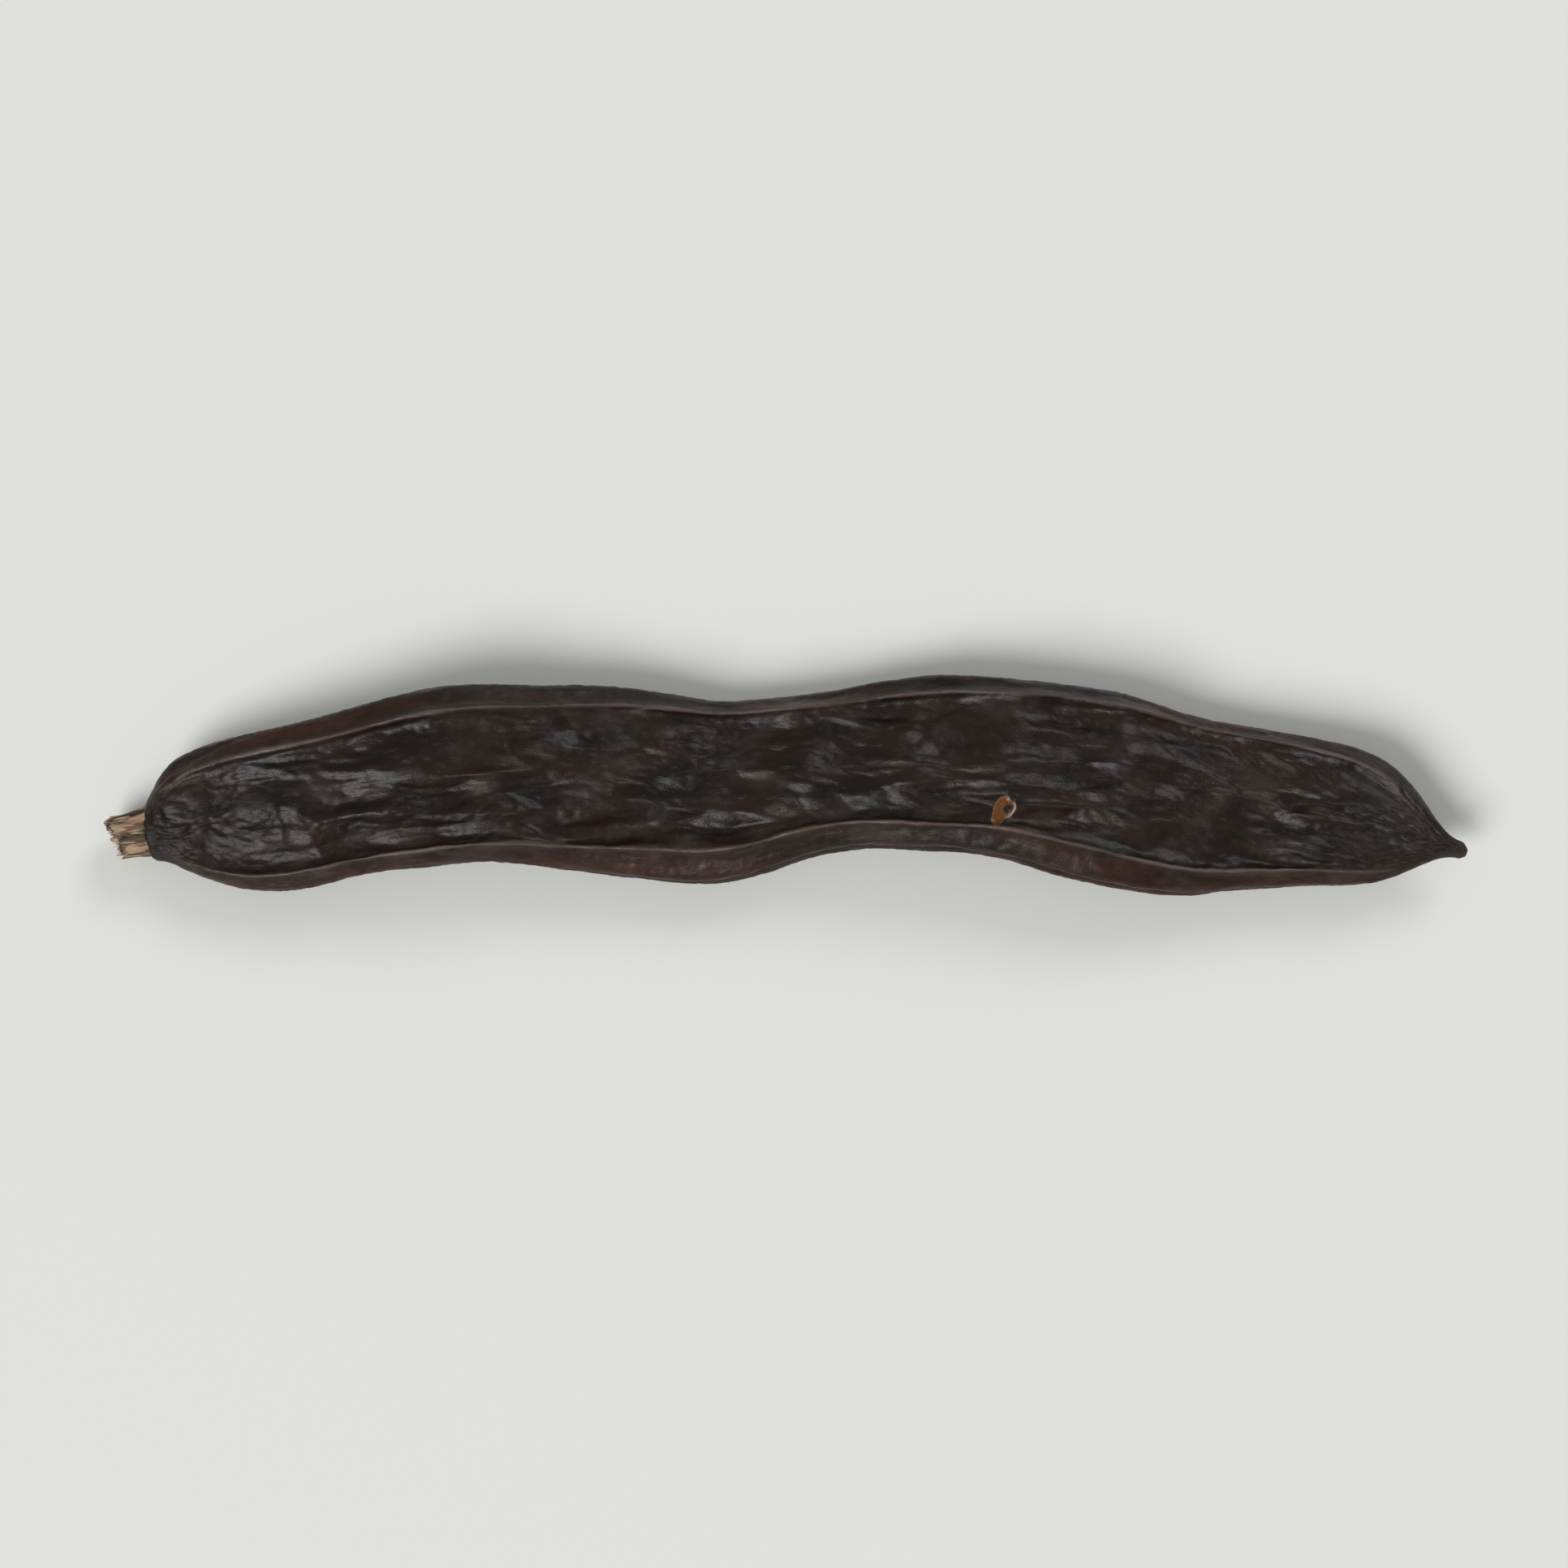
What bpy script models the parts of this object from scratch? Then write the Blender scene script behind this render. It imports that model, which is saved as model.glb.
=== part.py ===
"""A dried carob pod with the broken stub of its stalk, lying on a table.

The pod is one grown piece: a flattened, wavy strap with a ridge along each border of both
faces, swellings over the seeds, a beak at one end and a socket for the stalk at the other.
It is worked out straight, with x along it from the stalk end, then bent and turned to its lie.
Metres, +Z up, the stalk towards -X, the table at z = 0, the origin amid the area it covers.
"""

import math

import bmesh
import bpy
import numpy as np

# Size of the pod
POD_LENGTH = 0.150
POD_WIDTH = 0.0215
POD_THICKNESS = 0.0074
SECTION_POWER = 3.1  # 2 would be an ellipse, larger is boxier

# How the pod bends: a bow in plan, a hook at the beak, a wave in height and a twist
BOW = 0.0064
HOOK = 0.0026
HOOK_START = 0.78  # share of the length
WAVE = 0.0013
WAVE_LENGTH = 0.064
WAVE_START = 4.7  # radians
TWIST = math.radians(9.0)
TWIST_LENGTH = 0.150
TWIST_START = 0.8  # radians

# Stalk end: a round neck, nearer the front border, that opens into the pod's shoulders
NECK_WIDTH = 0.0066
NECK_THICKNESS = 0.0060
NECK_ROUND = 0.0006
NECK_FACE = 0.86  # share of the neck's width that its end face has
BACK_SHOULDER = 0.0026  # where a shoulder has reached half its width
FRONT_SHOULDER = 0.0080
FACE_SHOULDER = 0.0075
SHOULDER_POWER = 1.6
SOCKET_RADIUS = 0.0024
SOCKET_DEPTH = 0.0012
SOCKET_LIP = 0.0003

# Beak end: hollow flanks that run into a blunt point
BEAK_WIDTH = 0.0019
BEAK_THICKNESS = 0.0017
BEAK_HALF = 0.0074
BEAK_POWER = 2.5
BEAK_FACE_POWER = 1.3
BEAK_ROUND = 0.0009

# Waves of the two borders in plan, the back one bulging about where the front one is notched
BACK_WAVE = 0.0013
BACK_WAVE_LENGTH = 0.058
BACK_WAVE_START = 3.7  # radians
FRONT_WAVE = 0.0021
FRONT_WAVE_LENGTH = 0.053
FRONT_WAVE_START = 0.7
EDGE_UNEVEN = 0.0006
EDGE_UNEVEN_LENGTH = 0.011
EDGE_FADE = 3  # power of the pod's narrowing by which the waves die out at its ends
EDGE_PATCH = 21.0  # picks another stretch of the noise, as every name with PATCH does

# Ridges that border each face, with a furrow inside them and a groove along the very edge
RIDGE_AT = 0.76  # share of the half width
RIDGE_WANDER = 0.09
RIDGE_WANDER_LENGTH = 0.021
RIDGE_HEIGHT = 0.00080
RIDGE_REACH = 0.00065
FURROW_AT = 0.56
FURROW_DEPTH = 0.00050
FURROW_REACH = 0.0014
HOLLOW_DEPTH = 0.00040
HOLLOW_AT = 0.5
SUTURE_DEPTH = 0.00060
SUTURE_REACH = 0.0008
SUTURE_BAND = 6  # the larger, the closer the groove keeps to the edge

# Seeds under the skin
SEED_COUNT = 11
SEED_FIRST = 0.0165
SEED_LAST = 0.1330
SEED_SWELL = 0.00100
SEED_LONG = 0.0036
SEED_WIDE = 0.0044
SEED_ASTRAY = 0.0009
SEED_UNEVEN = 0.35
SEED_STEPS = 2.4, 1.7, 3.9  # radians from seed to seed, of their shifts and of their sizes

# Lengthwise folds of the dried skin
FOLD_HEIGHT = 0.00065
FOLD_LONG = 0.0130
FOLD_WIDE = 0.0032
FOLD_BEND = 0.9
FOLD_BEND_LONG = 0.019
FOLD_BEND_WIDE = 0.008
FOLD_BORDER = 0.80  # share of the half width where the folds end
FOLD_BORDER_POWER = 12
TOP_PATCH = 3.0
UNDER_PATCH = 8.0

# How far from each end the relief has grown to half its height, and how sharply it grows
RELIEF_FROM_NECK = 0.0060
RELIEF_FROM_BEAK = 0.0090
RELIEF_POWER = 3.5

# Stub of the stalk, seated in the socket with a fine gap
STUB_OUT = 0.0043
STUB_WIDTH = 0.0062
STUB_THICKNESS = 0.0054
STUB_TAPER = 0.80
STUB_CROWN = 0.0004
STUB_SLANT = 0.0009
STUB_SLANT_TO = 2.6  # radians round it to the side where the broken end is cut back
STUB_GAP = 0.0003
STUB_RIBS = 7
STUB_RIB_DEPTH = 0.06  # share of the radius
STUB_RIB_UNEVEN = 1.5  # radians by which the ribs crowd and spread
STUB_RIB_LEAN = 2.0  # radians that they turn along the stub
STUB_PATCH = 41.0

# How the pod lies: turned about X and Y, then let down until small flats meet the table
LAY_ROLL = math.radians(1.32)
LAY_PITCH = math.radians(-0.04)
FLAT_DEPTH = 0.00050

# Fineness of the meshes
POD_AROUND = 44
POD_RINGS = 106
BEAK_RINGS = 6
END_CROWDING = 0.28  # 0 spaces the rings evenly, 1 crowds them at both ends
STUB_AROUND = 28

# Finish: colour and roughness
POD_FINISH = (0.022, 0.012, 0.008), 0.45
STUB_FINISH = (0.30, 0.20, 0.12), 0.85


def hill(distance, half, power):
    """Rises from 0 to 1 and passes one half at the distance named half: x^p / (x^p + half^p)."""
    grown = (np.maximum(distance, 0.0) / half) ** power
    return grown / (1.0 + grown)


def bump(distance, reach):
    """A smooth bump, 1 at distance 0: e^-(distance / reach)^2."""
    return np.exp(-((distance / reach) ** 2))


def noise(across, along, patch):
    """Smooth noise from -1 to 1: a fixed value at each lattice corner, blended by 3t^2 - 2t^3."""
    column, row = np.floor(across), np.floor(along)
    u, v = across - column, along - row
    u, v = u * u * (3 - 2 * u), v * v * (3 - 2 * v)

    def corner(i, j):
        mixed = np.sin((column + i) * 127.1 + (row + j) * 311.7 + patch * 74.7) * 43758.5453
        return 2 * (mixed - np.floor(mixed)) - 1

    low = corner(0, 0) * (1 - u) + corner(1, 0) * u
    high = corner(0, 1) * (1 - u) + corner(1, 1) * u
    return low * (1 - v) + high * v


def centreline(x):
    """Place in plan and height of the pod's middle line at each x."""
    share = x / POD_LENGTH
    hooked = np.maximum(share - HOOK_START, 0.0) / (1.0 - HOOK_START)
    plan = BOW * 4 * share * (1 - share) - HOOK * hooked**2
    height = WAVE * np.sin(2 * math.pi * x / WAVE_LENGTH + WAVE_START)
    return plan, height


def bent(x, y, z):
    """Carries points of the straight pod onto the bent and twisted one."""
    step = 1e-5
    plan, height = centreline(x)
    plan_next, height_next = centreline(x + step)
    slope_y, slope_z = (plan_next - plan) / step, (height_next - height) / step
    along = np.stack([np.ones_like(slope_y), slope_y, slope_z], -1)
    along /= np.linalg.norm(along, axis=-1, keepdims=True)
    side = np.stack([-slope_y, np.ones_like(slope_y), np.zeros_like(slope_y)], -1)
    side /= np.linalg.norm(side, axis=-1, keepdims=True)
    up = np.cross(along, side)
    turn = TWIST * np.sin(2 * math.pi * x / TWIST_LENGTH + TWIST_START)
    across = y * np.cos(turn) - z * np.sin(turn)
    rise = y * np.sin(turn) + z * np.cos(turn)
    middle = np.stack([x, plan, height], -1)
    return middle + across[..., None] * side + rise[..., None] * up


def turned(points):
    """Turns the points about X by the roll and then about Y by the pitch of the pod's lie."""
    c, s = math.cos(LAY_ROLL), math.sin(LAY_ROLL)
    roll = np.array([[1, 0, 0], [0, c, -s], [0, s, c]])
    c, s = math.cos(LAY_PITCH), math.sin(LAY_PITCH)
    pitch = np.array([[c, 0, s], [0, 1, 0], [-s, 0, c]])
    return points @ (pitch @ roll).T


def half_widths(x, sideways):
    """Half width of the pod at x, on its back border where sideways is positive, else its front."""
    neck, beak = NECK_WIDTH / POD_WIDTH, BEAK_WIDTH / POD_WIDTH
    back, front = hill(x, BACK_SHOULDER, SHOULDER_POWER), hill(x, FRONT_SHOULDER, SHOULDER_POWER)
    shoulder = neck + (1 - neck) * np.where(sideways > 0, back, front)
    flank = beak + (1 - beak) * hill(POD_LENGTH - x, BEAK_HALF, BEAK_POWER)
    back = BACK_WAVE * np.sin(2 * math.pi * x / BACK_WAVE_LENGTH + BACK_WAVE_START)
    front = FRONT_WAVE * np.sin(2 * math.pi * x / FRONT_WAVE_LENGTH + FRONT_WAVE_START)
    wave = np.where(sideways > 0, back, front)
    uneven = EDGE_UNEVEN * noise(x / EDGE_UNEVEN_LENGTH, 3 * np.sign(sideways), EDGE_PATCH)
    return POD_WIDTH / 2 * shoulder * flank + (wave + uneven) * (shoulder * flank) ** EDGE_FADE


def half_thickness(x):
    """Half thickness of the pod at x, before the relief of its faces."""
    neck, beak = NECK_THICKNESS / POD_THICKNESS, BEAK_THICKNESS / POD_THICKNESS
    shoulder = neck + (1 - neck) * hill(x, FACE_SHOULDER, SHOULDER_POWER)
    flank = beak + (1 - beak) * hill(POD_LENGTH - x, BEAK_HALF, BEAK_FACE_POWER)
    return POD_THICKNESS / 2 * shoulder * flank


def seed_swelling(x, y):
    """A low mound over each seed, uneven in size and a little out of line."""
    swell = np.zeros_like(x)
    pitch = (SEED_LAST - SEED_FIRST) / (SEED_COUNT - 1)
    for i in range(SEED_COUNT):
        along, across, larger = (math.sin(step * i + 1.0) for step in SEED_STEPS)
        middle = SEED_FIRST + pitch * i + SEED_ASTRAY * along
        size = 1 + SEED_UNEVEN * larger
        swell += size * bump(x - middle, SEED_LONG) * bump(y - SEED_ASTRAY * across, SEED_WIDE)
    return SEED_SWELL * swell


def face_relief(x, share, half, top):
    """Height added to a face: ridge and furrow along each border, hollow, seeds and folds.

    The share goes from -1 at the front border to 1 at the back one.
    """
    out, y = np.abs(share), share * half
    patch = np.where(top, TOP_PATCH, UNDER_PATCH)
    bend = FOLD_BEND * noise(x / FOLD_BEND_LONG, y / FOLD_BEND_WIDE, patch + 1)
    crease = np.abs(noise(x / FOLD_LONG, y / FOLD_WIDE + bend, patch + 2))
    inside = 1 - hill(out, FOLD_BORDER, FOLD_BORDER_POWER)
    return (
        RIDGE_HEIGHT * bump((out - RIDGE_AT) * half, RIDGE_REACH)
        - FURROW_DEPTH * bump((out - FURROW_AT) * half, FURROW_REACH)
        - HOLLOW_DEPTH * bump(out**2, HOLLOW_AT**2)
        + seed_swelling(x, y)
        + FOLD_HEIGHT * (1 - 2 * crease) * inside
    )


def wandered(x, share, top):
    """Shifts the lines that run along the pod sideways, so that its ridges aren't quite parallel."""
    patch = np.where(top, TOP_PATCH, UNDER_PATCH)
    drift = noise(x / RIDGE_WANDER_LENGTH, 5 * np.sign(share) + patch, patch)
    return share * (1 + RIDGE_WANDER * drift * 4 * np.abs(share) * (1 - np.abs(share)))


def skin(x, angle):
    """Points of the straight pod's outer skin: a superellipse section plus the relief of its faces."""
    c, s = np.cos(angle), np.sin(angle)
    half, to_tip = half_widths(x, c), POD_LENGTH - x
    squareness = hill(x, 0.5 * RELIEF_FROM_NECK, 2) * hill(to_tip, 0.5 * RELIEF_FROM_BEAK, 2)
    power = 2 / (2 + (SECTION_POWER - 2) * squareness)
    share = np.sign(c) * np.abs(c) ** power
    fade = hill(x, RELIEF_FROM_NECK, RELIEF_POWER) * hill(to_tip, RELIEF_FROM_BEAK, RELIEF_POWER)
    z = half_thickness(x) * np.abs(s) ** power
    z += fade * np.sqrt(np.abs(s)) * face_relief(x, share, half, s > 0)
    groove = SUTURE_DEPTH * bump(z, SUTURE_REACH) * np.abs(c) ** SUTURE_BAND
    y = half * wandered(x, share, s > 0) - fade * np.sign(c) * groove
    return y, np.sign(s) * z


def ring_sphere(name, around, rings):
    """A sphere primitive, with the ring and the angle of each of its vertices. Ring 0 is the stalk's."""
    mesh = bpy.data.meshes.new(name)
    shape = bmesh.new()
    bmesh.ops.create_uvsphere(shape, u_segments=around, v_segments=rings, radius=1.0)
    spots = np.array([v.co for v in shape.verts])
    ring = rings - np.rint(np.arccos(np.clip(spots[:, 2], -1, 1)) / math.pi * rings).astype(int)
    angle = np.arctan2(spots[:, 1], spots[:, 0])
    return mesh, shape, ring, angle


def pod_rings():
    """Place along the pod and size of each ring: socket, lip of the neck, skin, rounded beak."""
    socket = [(SOCKET_DEPTH, 0.0), (SOCKET_DEPTH, 0.55), (SOCKET_DEPTH, 1.0), (SOCKET_LIP, 1.0)]
    lip = [(0.0, NECK_FACE)]
    turns = np.linspace(0, math.pi / 2, BEAK_RINGS)
    beak = [(POD_LENGTH - BEAK_ROUND * (1 - math.sin(t)), math.cos(t)) for t in turns]
    share = np.linspace(0, 1, POD_RINGS + 2 - len(socket + lip + beak))[:-1]
    eased = (1 - END_CROWDING) * share + END_CROWDING * (1 - np.cos(math.pi * share)) / 2
    plain = [(x, 1.0) for x in NECK_ROUND + eased * (POD_LENGTH - BEAK_ROUND - NECK_ROUND)]
    stations = np.array(socket + lip + plain + beak)
    return stations[:, 0], stations[:, 1], len(socket)


def pod_shape():
    """The pod's mesh, not yet moved, and the place of each of its vertices, bent and turned."""
    mesh, shape, ring, angle = ring_sphere("pod", POD_AROUND, POD_RINGS)
    station, size, socket_rings = pod_rings()
    x, scale = station[ring], size[ring]
    y, z = skin(x, angle)
    in_socket = ring < socket_rings
    y = scale * np.where(in_socket, SOCKET_RADIUS * np.cos(angle), y)
    z = scale * np.where(in_socket, SOCKET_RADIUS * np.sin(angle), z)
    return mesh, shape, turned(bent(x, y, z))


def stub_shape():
    """The stub of the stalk: a peg in the socket, and outside it a ribbed stump with a broken end."""
    peg = SOCKET_RADIUS - STUB_GAP
    floor = SOCKET_DEPTH - STUB_GAP
    wide, thick = STUB_WIDTH / 2, STUB_THICKNESS / 2
    end_wide, end_thick = STUB_TAPER * wide, STUB_TAPER * thick
    profile = np.array(
        [
            (-STUB_OUT, 0.0, 0.0),
            (-STUB_OUT, 0.6 * end_wide, 0.6 * end_thick),
            (-STUB_OUT + STUB_CROWN, 0.95 * end_wide, 0.95 * end_thick),
            (-STUB_OUT + 3 * STUB_CROWN, end_wide, end_thick),
            (-0.5 * STUB_OUT, 0.87 * wide, 0.87 * thick),
            (-0.3 * STUB_OUT, 0.94 * wide, 0.94 * thick),
            (-3 * STUB_GAP, wide, thick),
            (-STUB_GAP, 0.9 * wide, 0.9 * thick),
            (-STUB_GAP, peg, peg),
            (floor, peg, peg),
            (floor, 0.5 * peg, 0.5 * peg),
            (floor, 0.0, 0.0),
        ]
    )
    mesh, shape, ring, angle = ring_sphere("stalk_stub", STUB_AROUND, len(profile) - 1)
    x, across, up = profile[ring].T
    outside = hill(-x - STUB_GAP, 2 * STUB_GAP, 2)
    lean = STUB_RIB_LEAN * x / STUB_OUT
    ribs = np.sin(STUB_RIBS * angle + STUB_RIB_UNEVEN * np.sin(angle + 0.7) + lean)
    size = 1 + STUB_RIB_DEPTH * outside * ribs
    end = hill(-x, 0.7 * STUB_OUT, 8)
    slant = STUB_SLANT * across / end_wide * np.cos(angle - STUB_SLANT_TO)
    torn = STUB_CROWN * noise(3 * np.cos(angle), 3 * np.sin(angle), STUB_PATCH)
    y, z = across * size * np.cos(angle), up * size * np.sin(angle)
    return mesh, shape, turned(bent(x + end * (slant + torn), y, z))


def finish_mesh(mesh, shape, points, colour, roughness):
    """Puts the moved points into the mesh and makes its object, shaded smooth, in its own material."""
    for vertex, point in zip(shape.verts, points):
        vertex.co = point
    shape.to_mesh(mesh)
    shape.free()
    mesh.shade_smooth()
    material = bpy.data.materials.new(mesh.name)
    material.use_nodes = True
    shader = material.node_tree.nodes["Principled BSDF"]
    shader.inputs["Base Color"].default_value = (*colour, 1.0)
    shader.inputs["Roughness"].default_value = roughness
    shader.inputs["Metallic"].default_value = 0.0
    mesh.materials.append(material)
    collection.objects.link(bpy.data.objects.new(mesh.name, mesh))


def make_all():
    """Sets both pieces down on the table, amid the area they cover, with flats where the pod touches."""
    pod_mesh, pod, pod_points = pod_shape()
    stub_mesh, stub, stub_points = stub_shape()
    both = np.vstack([pod_points, stub_points])
    origin = (both.min(axis=0) + both.max(axis=0)) / 2
    origin[2] = both[:, 2].min() + FLAT_DEPTH
    pod_points -= origin
    stub_points -= origin
    pod_points[:, 2] = np.maximum(pod_points[:, 2], 0.0)
    finish_mesh(pod_mesh, pod, pod_points, *POD_FINISH)
    finish_mesh(stub_mesh, stub, stub_points, *STUB_FINISH)


for old in list(bpy.data.objects):
    bpy.data.objects.remove(old)
collection = bpy.data.collections.new("carob_pod")
bpy.context.scene.collection.children.link(collection)
make_all()
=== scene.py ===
"""A dried carob pod with the broken stub of its stalk, on a pale table under soft light.

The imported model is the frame: it gives every place and size that the pieces below start from.
Metres, +Z up, the stalk towards -X.
"""

import itertools
import math

import bpy
import numpy as np
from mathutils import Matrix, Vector


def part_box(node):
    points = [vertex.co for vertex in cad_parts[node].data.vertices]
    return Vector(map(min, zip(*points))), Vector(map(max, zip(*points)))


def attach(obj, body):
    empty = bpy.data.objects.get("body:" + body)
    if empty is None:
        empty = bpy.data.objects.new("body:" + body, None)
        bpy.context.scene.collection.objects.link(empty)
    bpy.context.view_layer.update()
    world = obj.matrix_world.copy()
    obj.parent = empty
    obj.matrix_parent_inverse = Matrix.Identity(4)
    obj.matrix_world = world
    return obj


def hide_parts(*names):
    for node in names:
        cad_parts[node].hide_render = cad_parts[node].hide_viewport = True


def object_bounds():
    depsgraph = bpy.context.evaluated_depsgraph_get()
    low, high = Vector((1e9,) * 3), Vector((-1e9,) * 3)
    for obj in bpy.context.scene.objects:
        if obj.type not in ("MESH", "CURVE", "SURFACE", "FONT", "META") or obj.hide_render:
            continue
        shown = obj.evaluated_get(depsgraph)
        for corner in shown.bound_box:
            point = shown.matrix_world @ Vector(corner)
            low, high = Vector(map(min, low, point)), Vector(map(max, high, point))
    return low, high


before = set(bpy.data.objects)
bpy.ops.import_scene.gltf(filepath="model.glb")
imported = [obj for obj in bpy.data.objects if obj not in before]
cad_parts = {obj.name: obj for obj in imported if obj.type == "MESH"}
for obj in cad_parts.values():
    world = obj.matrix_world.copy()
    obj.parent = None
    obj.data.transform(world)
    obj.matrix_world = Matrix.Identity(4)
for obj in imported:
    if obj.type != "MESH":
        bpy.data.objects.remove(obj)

cad_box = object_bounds()

# The husk. It grew as one flat, leathery piece: two thick borders, each with a groove along its
# very edge, and between them two faces that sank and creased lengthwise as the pod dried, so
# that the seeds came to show as low swellings. It is shut round the seeds and lies as it fell.

POD_LENGTH = 0.150
POD_WIDTH = 0.0215
POD_THICKNESS = 0.0074
SECTION_POWER = 3.1  # 2 would be an ellipse, larger is boxier

BOW = 0.0064
HOOK = 0.0026
HOOK_START = 0.78  # share of the length
WAVE = 0.0013
WAVE_LENGTH = 0.064
WAVE_START = 4.7  # radians
TWIST = math.radians(9.0)
TWIST_LENGTH = 0.150
TWIST_START = 0.8  # radians
LAY_ROLL = math.radians(1.32)
LAY_PITCH = math.radians(-0.04)

NECK_WIDTH = 0.0066
NECK_THICKNESS = 0.0060
NECK_ROUND = 0.0006
NECK_FACE = 0.86  # share of the neck's width that its end face has
BACK_SHOULDER = 0.0026  # where a shoulder has reached half its width
FRONT_SHOULDER = 0.0080
FACE_SHOULDER = 0.0075
SHOULDER_POWER = 1.6
SOCKET_RADIUS = 0.0024
SOCKET_DEPTH = 0.0012

BEAK_WIDTH = 0.0019
BEAK_THICKNESS = 0.0017
BEAK_HALF = 0.0074
BEAK_POWER = 2.5
BEAK_FACE_POWER = 1.3
BEAK_ROUND = 0.0009

BACK_WAVE = 0.0013
BACK_WAVE_LENGTH = 0.058
BACK_WAVE_START = 3.7  # radians
FRONT_WAVE = 0.0021
FRONT_WAVE_LENGTH = 0.053
FRONT_WAVE_START = 0.7
EDGE_UNEVEN = 0.0006
EDGE_UNEVEN_LENGTH = 0.011
EDGE_ROW = 3  # row of the noise that each border follows, on its own side of row 0
EDGE_FADE = 3  # power of the pod's narrowing by which the waves die out at its ends
EDGE_PATCH = 21.0  # picks another stretch of the noise, as every name with PATCH does

RIDGE_AT = 0.76  # share of the half width
RIDGE_WANDER = 0.09
RIDGE_WANDER_LENGTH = 0.021
RIDGE_ROW = 5
RIDGE_HEIGHT = 0.00080
RIDGE_REACH = 0.00065
FURROW_AT = 0.56
FURROW_DEPTH = 0.00050
FURROW_REACH = 0.0014
HOLLOW_DEPTH = 0.00040
HOLLOW_AT = 0.5
SUTURE_DEPTH = 0.00060
SUTURE_REACH = 0.0008
SUTURE_BAND = 6  # the larger, the closer the groove keeps to the edge

SEED_COUNT = 11
SEED_FIRST = 0.0165
SEED_LAST = 0.1330
SEED_SWELL = 0.00100
SEED_LONG = 0.0036
SEED_WIDE = 0.0044
SEED_ASTRAY = 0.0009
SEED_UNEVEN = 0.35
SEED_STEPS = 2.4, 1.7, 3.9  # radians from seed to seed: shifts along and across, and sizes
SEED_START = 1.0

FOLD_HEIGHT = 0.00065
FOLD_LONG = 0.0130
FOLD_WIDE = 0.0032
FOLD_BEND = 0.9
FOLD_BEND_LONG = 0.019
FOLD_BEND_WIDE = 0.008
FOLD_SOFT = 0.10  # rounds the bottoms of the folds, which are sharp at 0
FOLD_BORDER = 0.80  # share of the half width where the folds end
FOLD_BORDER_POWER = 12
TOP_PATCH = 3.0
UNDER_PATCH = 8.0

RELIEF_FROM_NECK = 0.0060
RELIEF_FROM_BEAK = 0.0090
RELIEF_POWER = 3.5
SQUARED_AT = 0.5  # share of those two distances at which the section is half way to boxy
SQUARED_POWER = 2

SKIN_ROWS = 520
SKIN_AROUND = 184
END_CROWDING = 0.28  # 0 spaces the rows evenly, 1 crowds them at both ends
ROUNDING_ROWS = 8  # of the lip and of the tip
SOCKET_ROWS = (1.0, 0.5), (1.0, 1.0), (0.6, 1.0), (0.2, 1.0)  # shares of its depth and radius

SCATTER = 43758.5453  # so large a factor of a sine that the fraction of the product looks random
CELL_STEPS = 127.1, 311.7, 74.7  # radians between the noise's columns, rows and patches


def hill(distance, half, power):
    """Rises from 0 to 1 and passes one half at the distance named half: x^p / (x^p + half^p)."""
    grown = (np.maximum(distance, 0.0) / half) ** power
    return grown / (1.0 + grown)


def bump(distance, reach):
    """A smooth bump, 1 at distance 0: e^-(distance / reach)^2."""
    return np.exp(-((distance / reach) ** 2))


def scattered(value):
    """A fixed number from 0 to 1 for each value: the fraction of a large multiple of its sine."""
    multiple = np.sin(value) * SCATTER
    return multiple - np.floor(multiple)


def noise(across, along, patch):
    """Smooth noise from -1 to 1: a fixed value at each lattice corner, blended by 3t^2 - 2t^3."""
    column, row = np.floor(across), np.floor(along)
    u, v = across - column, along - row
    u, v = u * u * (3 - 2 * u), v * v * (3 - 2 * v)
    column_step, row_step, patch_step = CELL_STEPS

    def corner(i, j):
        angle = (column + i) * column_step + (row + j) * row_step + patch * patch_step
        return 2 * scattered(angle) - 1

    low = corner(0, 0) * (1 - u) + corner(1, 0) * u
    high = corner(0, 1) * (1 - u) + corner(1, 1) * u
    return low * (1 - v) + high * v


def centreline(x):
    """Place in plan and height of the pod's middle line at each x."""
    share = x / POD_LENGTH
    hooked = np.maximum(share - HOOK_START, 0.0) / (1.0 - HOOK_START)
    plan = BOW * 4 * share * (1 - share) - HOOK * hooked**2
    height = WAVE * np.sin(2 * math.pi * x / WAVE_LENGTH + WAVE_START)
    return plan, height


def bent(x, y, z):
    """Carries points of the straight pod onto the bent and twisted one, turned to its lie.

    Each point keeps its place across the middle line: y along the line's side direction and z
    along its upward one, both turned about the line by the twist at x. Then all turn about X by
    the roll and about Y by the pitch.
    """
    step = 1e-5
    plan, height = centreline(x)
    plan_next, height_next = centreline(x + step)
    slope_y, slope_z = (plan_next - plan) / step, (height_next - height) / step
    along = np.stack([np.ones_like(slope_y), slope_y, slope_z], -1)
    along /= np.linalg.norm(along, axis=-1, keepdims=True)
    side = np.stack([-slope_y, np.ones_like(slope_y), np.zeros_like(slope_y)], -1)
    side /= np.linalg.norm(side, axis=-1, keepdims=True)
    up = np.cross(along, side)
    turn = TWIST * np.sin(2 * math.pi * x / TWIST_LENGTH + TWIST_START)
    across = y * np.cos(turn) - z * np.sin(turn)
    rise = y * np.sin(turn) + z * np.cos(turn)
    points = np.stack([x, plan, height], -1) + across[..., None] * side + rise[..., None] * up
    c, s = math.cos(LAY_ROLL), math.sin(LAY_ROLL)
    roll = np.array([[1, 0, 0], [0, c, -s], [0, s, c]])
    c, s = math.cos(LAY_PITCH), math.sin(LAY_PITCH)
    pitch = np.array([[c, 0, s], [0, 1, 0], [-s, 0, c]])
    return points @ (pitch @ roll).T


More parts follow.
